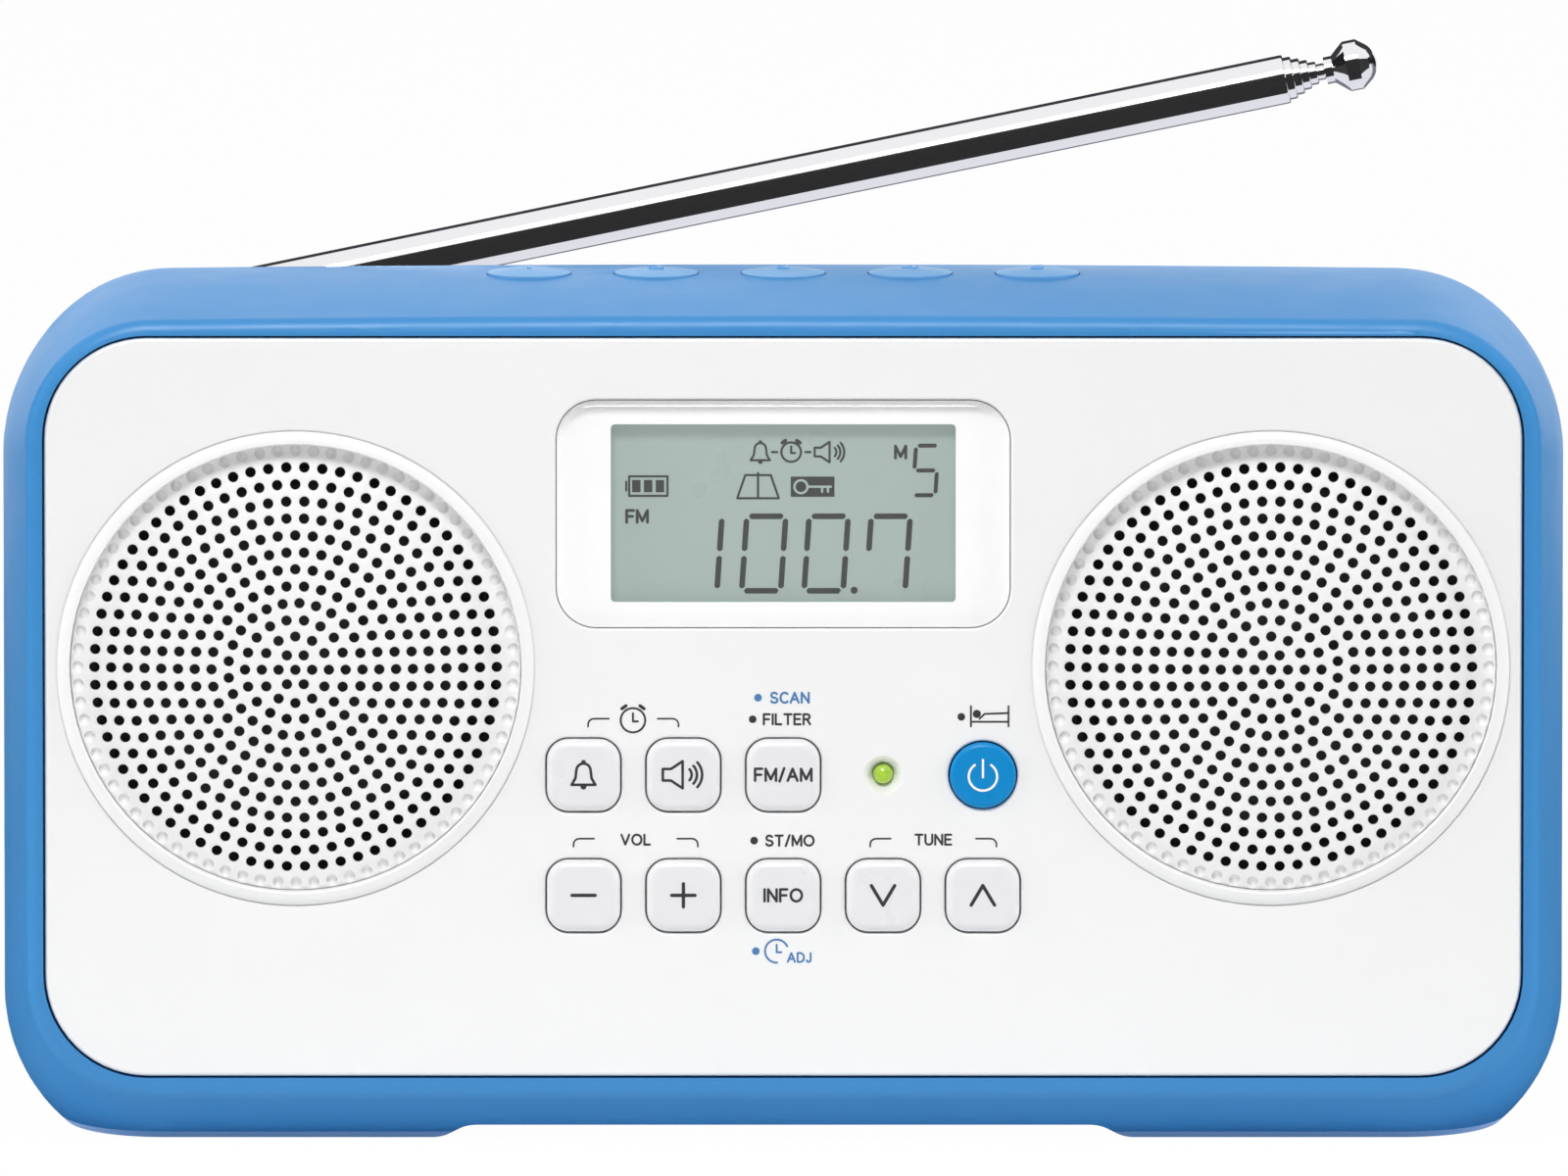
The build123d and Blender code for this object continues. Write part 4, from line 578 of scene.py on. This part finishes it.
# Print
class Print:
    """Flat shapes on the front or the back, joined into one thin raised plate.

    Places are given as X and Z for the front, and as seen from behind, with X reversed, for the back.
    """

    def __init__(self, y, height=INK_HEIGHT):
        self.outlines = []
        self.y = y
        self.height = height
        self.way = -1 if y > 0 else 1

    def plate(self, outline):
        """Adds a shape with a given outline."""
        turn = sum(x0 * z1 - x1 * z0 for (x0, z0), (x1, z1) in zip(outline, outline[1:] + outline[:1]))
        self.outlines.append(outline if turn > 0 else outline[::-1])

    def dot(self, x, z, radius, sides=DOT_SIDES):
        """Round plate."""
        self.plate([(p.x, p.y) for p in circle(Vector((x, z)), radius, sides)])

    def stroke(self, points, width=LINE, closed=False):
        """Line with round joints and ends."""
        ends = points + points[:1] if closed else points
        for x, z in points:
            self.dot(x, z, width / 2, LINE_END_SIDES)
        for (x0, z0), (x1, z1) in zip(ends, ends[1:]):
            along = Vector((x1 - x0, z1 - z0))
            if along.length < JOINED:
                continue
            side = along.orthogonal().normalized() * width / 2
            corners = ((x0, z0, 1), (x1, z1, 1), (x1, z1, -1), (x0, z0, -1))
            self.plate([(x + way * side.x, z + way * side.y) for x, z, way in corners])

    def arc(self, x, z, radius, start, end, width=LINE, steps=14):
        """Part of a circle, from one angle to another in degrees."""
        self.stroke(oval(x, z, radius, radius, start, end, steps), width)

    def bar(self, x, z, half_width, half_height):
        """Upright rectangle centred on a point."""
        left, right = x - half_width, x + half_width
        bottom, top = z - half_height, z + half_height
        self.plate([(left, bottom), (right, bottom), (right, top), (left, top)])

    def text(self, words, x, z, height, line_share=LETTER_LINE):
        """Words in capitals centred on a point, with lines of a given share of their height."""
        line = line_share * height
        tall = height - line
        widths = [max(px for stroke in LETTERS[letter] for px, _ in stroke) for letter in words]
        left = x - (sum(widths) + LETTER_GAP * (len(words) - 1)) * tall / 2
        for letter, width in zip(words, widths):
            for stroke in LETTERS[letter]:
                self.stroke([(left + px * tall, z + (pz - 0.5) * tall) for px, pz in stroke], line)
            left += (width + LETTER_GAP) * tall

    def done(self, name, look, body):
        """The shapes joined without overlaps, as an object."""
        points = [Vector(place) for outline in self.outlines for place in outline]
        numbers = iter(range(len(points)))
        rings = [[next(numbers) for _ in outline] for outline in self.outlines]
        flat, _, triangles, _, _, covered = delaunay_2d_cdt(points, [], rings, 0, JOINED)
        built = bmesh.new()
        face_y = self.y - self.way * self.height
        foot_y = self.y + self.way * INK_SUNK
        face = [built.verts.new((self.way * p.x, face_y, p.y)) for p in flat]
        foot = [built.verts.new((self.way * p.x, foot_y, p.y)) for p in flat]
        below = dict(zip(face, foot))
        for corners, sources in zip(triangles, covered):
            if sources:
                built.faces.new([face[i] for i in corners])
                built.faces.new([foot[i] for i in reversed(corners)])
        for edge in [e for e in built.edges if e.is_boundary and e.verts[0] in below]:
            first, last = edge.verts
            built.faces.new([first, last, below[last], below[first]])
        bmesh.ops.delete(built, geom=[v for v in built.verts if not v.link_faces], context="VERTS")
        bmesh.ops.recalc_face_normals(built, faces=built.faces[:])
        return add_mesh(name, built, look, body)


# Pictograms, each about size high and centred on x, z, drawn in shares of that size
def draw_bell(ink, x, z, size, line=LINE):
    waist = 0.24 * size
    foot = z - 0.34 * size
    shoulder = z - 0.12 * size
    dome = oval(x, z + 0.14 * size, waist, waist, 0, 180)
    right = [(x + 0.40 * size, foot), (x + waist + 0.03 * size, shoulder)]
    left = [(x - waist - 0.03 * size, shoulder), (x - 0.40 * size, foot)]
    ink.stroke(right + dome + left, line, closed=True)
    ink.dot(x, foot - 0.06 * size, 0.10 * size)
    ink.dot(x, z + 0.42 * size, 0.08 * size)


def draw_speaker(ink, x, z, size, line=LINE):
    back, neck, mouth = x - 0.68 * size, x - 0.40 * size, x
    box = [(back, 0.2), (back, -0.2), (neck, -0.2), (mouth, -0.47), (mouth, 0.47), (neck, 0.2)]
    ink.stroke([(px, z + pz * size) for px, pz in box], line, closed=True)
    for radius in (0.28, 0.46, 0.64):
        ink.arc(x + 0.03 * size, z, radius * size, -42, 42, line, 10)


def draw_clock(ink, x, z, size, line=LINE):
    ink.arc(x, z, 0.42 * size, 0, 360, line, 32)
    ink.stroke([(x, z + 0.24 * size), (x, z - 0.04 * size), (x + 0.17 * size, z - 0.04 * size)], line)
    for side in (-size, size):
        bell = [(x + side * 0.24, z + 0.50 * size), (x + side * 0.38, z + 0.40 * size)]
        ink.stroke(bell, line * 1.6)


def draw_set_clock(ink, x, z, size, line=LINE):
    """Clock left open where a word stands."""
    ink.arc(x, z, 0.5 * size, 25, 272, line, 24)
    ink.stroke([(x, z + 0.28 * size), (x, z - 0.05 * size), (x + 0.2 * size, z - 0.05 * size)], line)


def draw_bed(ink, x, z, size, line=LINE):
    half, tall = 0.92 * size, 0.5 * size
    for side in (-half, half):
        ink.stroke([(x + side, z + tall), (x + side, z - tall)], line)
    ink.stroke([(x - half, z - 0.27 * size), (x + half, z - 0.27 * size)], line)
    ink.dot(x - 0.63 * size, z + 0.12 * size, 0.2 * size)
    cover = [(-0.5, -0.12), (-0.25, 0.12), (0.92, 0.16)]
    ink.stroke([(x + px * size, z + pz * size) for px, pz in cover], line)


def draw_headphones(ink, x, z, size, line=LINE):
    ink.arc(x, z, 0.42 * size, -15, 195, line, 20)
    for side in (-1, 1):
        pad = x + side * 0.40 * size
        ink.stroke([(pad, z - 0.10 * size), (pad, z - 0.40 * size)], 2.6 * line)


def draw_direct_current(ink, x, z, size, line=LINE):
    """Long line over three short ones."""
    half = 0.5 * size
    dash = 0.11 * size
    ink.stroke([(x - half, z + 0.14 * size), (x + half, z + 0.14 * size)], line)
    for place in (-0.39, 0, 0.39):
        middle = x + place * size
        ink.stroke([(middle - dash, z - 0.14 * size), (middle + dash, z - 0.14 * size)], line)


SIGNS = {
    "bell": draw_bell,
    "speaker": draw_speaker,
    "clock": draw_clock,
    "set_clock": draw_set_clock,
    "bed": draw_bed,
}


# Legends
def draw_bracket(ink, x, z, length, out):
    """Level line from x towards one side (-1 left, 1 right) with its end bent down."""
    bend = oval(length - BRACKET_BEND, -BRACKET_BEND, BRACKET_BEND, BRACKET_BEND, 90, 0, 5)
    points = [(0, 0)] + bend + [(length, -BRACKET_DROP)]
    ink.stroke([(x + out * along, z + down) for along, down in points], BRACKET_LINE)


def print_panel():
    """Pictograms and plain words between the keys."""
    inks = {"black": Print(FRONT), "blue": Print(FRONT)}
    for words, u, v, height, ink in PANEL_WORDS:
        inks[ink].text(words, *at_pixel(u, v, FRONT), height * MM)
    for u, v, ink in PANEL_DOTS:
        inks[ink].dot(*at_pixel(u, v, FRONT), PANEL_DOT_RADIUS)
    for u, v, length, out in PANEL_BRACKETS:
        draw_bracket(inks["black"], *at_pixel(u, v, FRONT), length * PIXEL, out)
    for sign, u, v, size, line, ink in PANEL_SIGNS:
        SIGNS[sign](inks[ink], *at_pixel(u, v, FRONT), size * MM, line * MM)
    for ink, shapes in inks.items():
        shapes.done(f"panel_print_{ink}", INKS[ink], "cabinet")


def key_print(key):
    """Empty print on a key's face, with the place of its sign, a little above the key's middle."""
    low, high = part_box(key)
    return Print(KEY_FRONT), (low.x + high.x) / 2, (low.z + high.z) / 2 + KEY_SIGN_LIFT


def finish_key(key, ink, colour="black"):
    """Puts a key's print on the key."""
    ink.done(key.replace("_key", "_print"), INKS[colour], key)


def print_keys():
    """One pictogram or word on each front key."""
    ink, x, z = key_print("alarm_buzzer_key")
    draw_bell(ink, x, z, KEY_BELL, KEY_LINE)
    finish_key("alarm_buzzer_key", ink)
    ink, x, z = key_print("alarm_radio_key")
    draw_speaker(ink, x - KEY_SPEAKER_SHIFT, z, KEY_SPEAKER, KEY_LINE)
    finish_key("alarm_radio_key", ink)
    for key, words in (("band_key", "FM/AM"), ("display_key", "INFO")):
        ink, x, z = key_print(key)
        ink.text(words, x, z, KEY_WORD)
        finish_key(key, ink)
    for key, lines in (("volume_down_key", 1), ("volume_up_key", 2)):
        ink, x, z = key_print(key)
        for across, up in ((KEY_BAR_REACH, 0), (0, KEY_BAR_REACH))[:lines]:
            ink.stroke([(x - across, z - up), (x + across, z + up)], KEY_BAR)
        finish_key(key, ink)
    for key, rise in (("tuning_down_key", -KEY_ARROW_RISE), ("tuning_up_key", KEY_ARROW_RISE)):
        ink, x, z = key_print(key)
        ink.stroke([(x - KEY_BAR_REACH, z - rise), (x, z + rise), (x + KEY_BAR_REACH, z - rise)], KEY_BAR)
        finish_key(key, ink)
    ink, x, z = key_print("power_key")
    middle = z - POWER_DROP
    ink.arc(x, middle, POWER_RADIUS, *POWER_ARC, POWER_LINE, 28)
    ink.stroke([(x, middle - POWER_BAR_FOOT), (x, middle + POWER_BAR_TOP)], POWER_LINE)
    finish_key("power_key", ink, "white")


# Display
def draw_digit(ink, digit, x, z, width, height, bar):
    """Seven-segment digit whose lower left corner lies at x, z."""
    half = height / 2
    inset = SEGMENT_GAP * bar + bar / 2
    ends = {
        "a": ((0, height), (width, height)), "g": ((0, half), (width, half)), "d": ((0, 0), (width, 0)),
        "f": ((0, half), (0, height)), "b": ((width, half), (width, height)),
        "e": ((0, 0), (0, half)), "c": ((width, 0), (width, half)),
    }
    for name in SEGMENTS[digit]:
        start, end = Vector(ends[name][0]), Vector(ends[name][1])
        along = (end - start).normalized()
        side = along.orthogonal() * bar / 2
        tip = along * bar * SEGMENT_TIP
        start += along * inset
        end -= along * inset
        outline = [start + side, start - tip, start - side, end - side, end + tip, end + side]
        ink.plate([(x + p.x + SEGMENT_SLANT * p.y, z + p.y) for p in outline])


def draw_battery(ink, x, z, line):
    """Battery outline with three bars."""
    right, tall = x + 2.8 * MM, 1.35 * MM
    left = x - 2.45 * MM
    ink.stroke([(left, z - tall), (right, z - tall), (right, z + tall), (left, z + tall)], line, True)
    nub, nub_tall = left - 0.4 * MM, 0.6 * MM
    ink.stroke([(nub, z - nub_tall), (nub, z + nub_tall)], line)
    for shift in (-1.47, 0.15, 1.77):
        ink.bar(x + shift * MM, z, 0.58 * MM, 0.85 * MM)


def draw_road(ink, x, z, line):
    """Road narrowing towards the top, with a middle line."""
    wide, narrow, tall = 2.85 * MM, 1.75 * MM, 1.6 * MM
    left = [(x - wide, z - tall), (x - narrow, z + tall)]
    right = [(x + narrow, z + tall), (x + wide, z - tall)]
    ink.stroke(left + right, line, True)
    ink.stroke([(x, z - tall), (x, z + tall + 0.3 * MM)], line)


def draw_key_sign(ink, x, z, line):
    """Key lying with its bit to the right."""
    ink.arc(x - 1.6 * MM, z, 0.9 * MM, 0, 360, line, 20)
    ink.stroke([(x - 0.7 * MM, z), (x + 2.5 * MM, z)], line)
    for along in (1.3, 2.1):
        ink.stroke([(x + along * MM, z), (x + along * MM, z - 0.7 * MM)], line)


def print_display():
    """What the liquid crystal shows: station, band, memory number and small signs."""
    ink = Print(LCD_FRONT)
    for u, digit in STATION_DIGITS:
        draw_digit(ink, digit, *at_pixel(u, STATION_FOOT_V, LCD_FRONT), *STATION_SIZE)
    ink.dot(*at_pixel(*STATION_POINT, LCD_FRONT), STATION_POINT_RADIUS)
    draw_digit(ink, MEMORY_DIGIT, *at_pixel(*MEMORY_PLACE, LCD_FRONT), *MEMORY_SIZE)
    for words, u, v, height in DISPLAY_WORDS:
        ink.text(words, *at_pixel(u, v, LCD_FRONT), height * MM, DISPLAY_LETTER_LINE)
    for sign, u, size in SIGN_ROW:
        SIGNS[sign](ink, *at_pixel(u, SIGN_ROW_V, LCD_FRONT), size * MM, DISPLAY_LINE)
    for u in SIGN_DASHES:
        x, z = at_pixel(u, SIGN_ROW_V, LCD_FRONT)
        ink.stroke([(x - SIGN_DASH_HALF, z), (x + SIGN_DASH_HALF, z)], DISPLAY_LINE)
    draw_battery(ink, *at_pixel(*BATTERY_PLACE, LCD_FRONT), DISPLAY_LINE)
    draw_road(ink, *at_pixel(*ROAD_PLACE, LCD_FRONT), DISPLAY_LINE)
    x, z = at_pixel(*LOCK_PLACE, LCD_FRONT)
    ink.bar(x, z, LOCK_HALF_WIDTH, LOCK_HALF_HEIGHT)
    ink.done("display_segments", LCD_DARK, "cabinet")
    light = Print(LCD_FRONT - INK_HEIGHT)
    draw_key_sign(light, x, z, DISPLAY_LINE)
    light.done("display_light_sign", LOOKS["lcd_cell"], "cabinet")


def add_lens_seam():
    """Grey strip in the gap round the display lens: painted shade for the dark line of the gap."""
    low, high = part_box("display_lens")
    left, right = low.x + LENS_CORNER, high.x - LENS_CORNER
    bottom, top = low.z + LENS_CORNER, high.z - LENS_CORNER
    radius = LENS_CORNER + LENS_GAP / 2
    corners = ((right, top, 0), (left, top, 90), (left, bottom, 180), (right, bottom, 270))
    # Grey strip that paints the shade in the gap
    gap_shade = Print(FRONT + GAP_SHADE_DEPTH)
    points = [point for x, z, turn in corners for point in oval(x, z, radius, radius, turn, turn + 90)]
    gap_shade.stroke(points, LENS_GAP, closed=True)
    gap_shade.done("lens_gap_shade", GAP_SHADE_GREY, "cabinet")


# Back
def print_back():
    """Signs beside the two sockets, and a raised arrow with ribs on the battery door."""
    ink = Print(BACK)
    for socket, draw in (("headphone_jack", draw_headphones), ("dc_jack", draw_direct_current)):
        low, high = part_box(socket)
        draw(ink, -(low.x + high.x) / 2 - SOCKET_SIGN_SHIFT, (low.z + high.z) / 2, SOCKET_SIGN)
    ink.done("socket_signs", INKS["white"], "cabinet")
    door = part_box("battery_door")[1]
    arrow = Print(door.y, RELIEF)
    top = door.z - ARROW_DROP
    arrow.plate([(-ARROW_HALF, top), (ARROW_HALF, top), (0, top - ARROW_LENGTH)])
    for i in range(DOOR_RIBS):
        rib = top - DOOR_RIB_DROP - i * DOOR_RIB_PITCH
        arrow.stroke([(-DOOR_RIB_HALF, rib), (DOOR_RIB_HALF, rib)], DOOR_RIB_WIDTH)
    arrow.done("door_arrow", LOOKS["blue_plastic"], "battery_door")


# Keys on top
def number_mesh(number):
    """Raised number lying flat round the origin."""
    curve = bpy.data.curves.new(f"number_{number}", "FONT")
    curve.body = str(number)
    curve.size = NUMBER_SIZE
    curve.align_x = "CENTER"
    curve.align_y = "CENTER"
    curve.extrude = NUMBER_HALF_HEIGHT
    curve.bevel_depth = NUMBER_BEVEL
    holder = bpy.data.objects.new(curve.name, curve)
    bpy.context.scene.collection.objects.link(holder)
    bpy.context.view_layer.update()
    evaluated = holder.evaluated_get(bpy.context.evaluated_depsgraph_get())
    shape = bpy.data.meshes.new_from_object(evaluated)
    bpy.data.objects.remove(holder)
    return shape


def add_preset_numbers():
    """Raised numbers on the domed keys on top."""
    for number in range(1, PRESET_COUNT + 1):
        key = f"preset_key_{number}"
        low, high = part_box(key)
        middle = (low + high) / 2
        shape = number_mesh(number)
        shape.transform(Matrix.Translation((middle.x, middle.y, high.z - NUMBER_SUNK)))
        built = bmesh.new()
        built.from_mesh(shape)
        add_mesh(f"preset_number_{number}", built, LOOKS["preset_blue"], key)


# Stage
def add_floor():
    """Pale floor, lit from within round the radio, that shows white with a trace of shadow."""
    bpy.ops.mesh.primitive_plane_add(size=FLOOR_SIZE)
    floor = bpy.context.object
    floor.name = "floor"
    floor.location.z = -FLOOR_GAP
    look = Shader("floor_white", (0.9, 0.9, 0.9, 1.0), 0.9, Emission_Color=(1, 1, 1, 1))
    look.fade(FLOOR_FADE, FLOOR_PALENESS, "Base Color")
    look.fade(FLOOR_FADE, FLOOR_GLOW, "Emission Strength")
    rays = look.node("LightPath")
    seen = look.combined("MAXIMUM", rays, "Is Camera Ray", rays, "Is Glossy Ray")
    seen = look.combined("MAXIMUM", seen, 0, rays, "Is Transmission Ray")
    share = look.combined("MULTIPLY", seen, 0, value=FLOOR_WHITE_SHARE)
    look.cover(share, 0, look.node("Emission", Color=(1, 1, 1, 1), Strength=1.0))
    floor.data.materials.append(look.material)


def add_light(name, place, size, power, mirrored):
    """Soft rectangular lamp aimed at the middle of the radio, seen in reflections or not."""
    light = bpy.data.lights.new(name, "AREA")
    light.shape = "RECTANGLE"
    light.size, light.size_y = size
    light.energy = power
    holder = bpy.data.objects.new(name, light)
    holder.location = place
    holder.rotation_euler = (LAMP_TARGET - Vector(place)).to_track_quat("-Z", "Y").to_euler()
    holder.visible_camera = False
    holder.visible_glossy = mirrored
    bpy.context.scene.collection.objects.link(holder)


def add_world():
    """Even surroundings that light the radio a little and show white."""
    world = bpy.data.worlds.new("studio")
    world.use_nodes = True
    tree = world.node_tree
    light = tree.nodes["Background"]
    light.inputs["Color"].default_value = (1, 1, 1, 1)
    light.inputs["Strength"].default_value = WORLD_LEVEL
    white = tree.nodes.new("ShaderNodeBackground")
    white.inputs["Color"].default_value = (1, 1, 1, 1)
    rays = tree.nodes.new("ShaderNodeLightPath")
    seen = tree.nodes.new("ShaderNodeMath")
    seen.operation = "SUBTRACT"
    seen.inputs[0].default_value = 1.0
    mix = tree.nodes.new("ShaderNodeMixShader")
    tree.links.new(rays.outputs["Is Diffuse Ray"], seen.inputs[1])
    tree.links.new(seen.outputs[0], mix.inputs[0])
    tree.links.new(light.outputs[0], mix.inputs[1])
    tree.links.new(white.outputs[0], mix.inputs[2])
    tree.links.new(mix.outputs[0], tree.nodes["World Output"].inputs["Surface"])
    bpy.context.scene.world = world


def add_card(name, corners, faces, look):
    """Card on the stage for reflections alone."""
    mesh = bpy.data.meshes.new(name)
    mesh.from_pydata(corners, [], faces)
    mesh.materials.append(look)
    card = bpy.data.objects.new(name, mesh)
    bpy.context.scene.collection.objects.link(card)
    card.visible_camera = False
    card.visible_diffuse = False
    card.visible_shadow = False
    card.visible_transmission = False


def add_flags():
    """Black boards in front and at both ends, and one lying under the radio."""
    path = [(x * FLAG_REACH, y * FLAG_REACH) for x, y in ((-1, 1), (-1, -1), (1, -1), (1, 1))]
    foot = [(x, y, FLAG_FOOT) for x, y in path]
    top = [(x, y, FLAG_TOP) for x, y in path]
    for i in range(len(path) - 1):
        add_card(f"flag_{i}", [foot[i], foot[i + 1], top[i + 1], top[i]], [(0, 1, 2, 3)], FLAG_BLACK)
    add_card("flag_floor", foot, [(0, 1, 2, 3)], FLAG_BLACK)


def add_antenna_card(name, start, end, levels):
    """Curved card along the antenna between two angles, from the front upwards, seen only from within."""
    joints = {joint["name"]: joint for joint in frame["record"]["behaviour"]["joints"]}
    pivot = Vector(joints["antenna_tilt"]["pos_m"])
    along = Vector(joints["antenna_extend_1"]["axis"])
    first, last = pivot + along * CARD_START, pivot + along * CARD_END
    front = Vector((0, -1, 0))
    up = Vector((-along.z, 0, along.x))
    steps = max(2, round((end - start) / CARD_STEP))
    corners = []
    for across, rise in oval(0, 0, CARD_RADIUS, CARD_RADIUS, start, end, steps):
        out = front * across + up * rise
        corners += [first + out, last + out]
    faces = [(2 * i, 2 * i + 2, 2 * i + 3, 2 * i + 1) for i in range(steps)]
    look = Shader(name, (0, 0, 0, 1), 1.0, Emission_Color=srgb(*levels), Emission_Strength=1.0)
    look.cover(look.node("NewGeometry"), "Backfacing", look.node("BsdfTransparent"))
    add_card(name, corners, faces, look.material)


def add_camera():
    """Long lens at the photograph's height and framing."""
    camera = bpy.data.cameras.new("camera")
    camera.sensor_fit = "HORIZONTAL"
    camera.lens = camera.sensor_width * CAMERA_DISTANCE / (PHOTO_WIDTH * PIXEL)
    camera.clip_end = CAMERA_REACH
    x, z = at_pixel(*PHOTO_CENTRE, FRONT)
    aim = Vector((0, math.cos(VIEW_PITCH), -math.sin(VIEW_PITCH)))
    holder = bpy.data.objects.new("camera", camera)
    holder.location = Vector((x, FRONT, z)) - aim * CAMERA_DISTANCE
    holder.rotation_euler = (math.pi / 2 - VIEW_PITCH, 0, 0)
    bpy.context.scene.collection.objects.link(holder)
    bpy.context.scene.camera = holder


dress_nodes()
add_grille("left", 1)
add_grille("right", -1)
print_panel()
print_keys()
print_display()
add_lens_seam()
print_back()
add_preset_numbers()
add_floor()
add_flags()
for card in ANTENNA_CARDS:
    add_antenna_card(*card)
add_world()
for light in LAMPS:
    add_light(*light)
add_camera()
bpy.context.scene.view_settings.view_transform = "Standard"
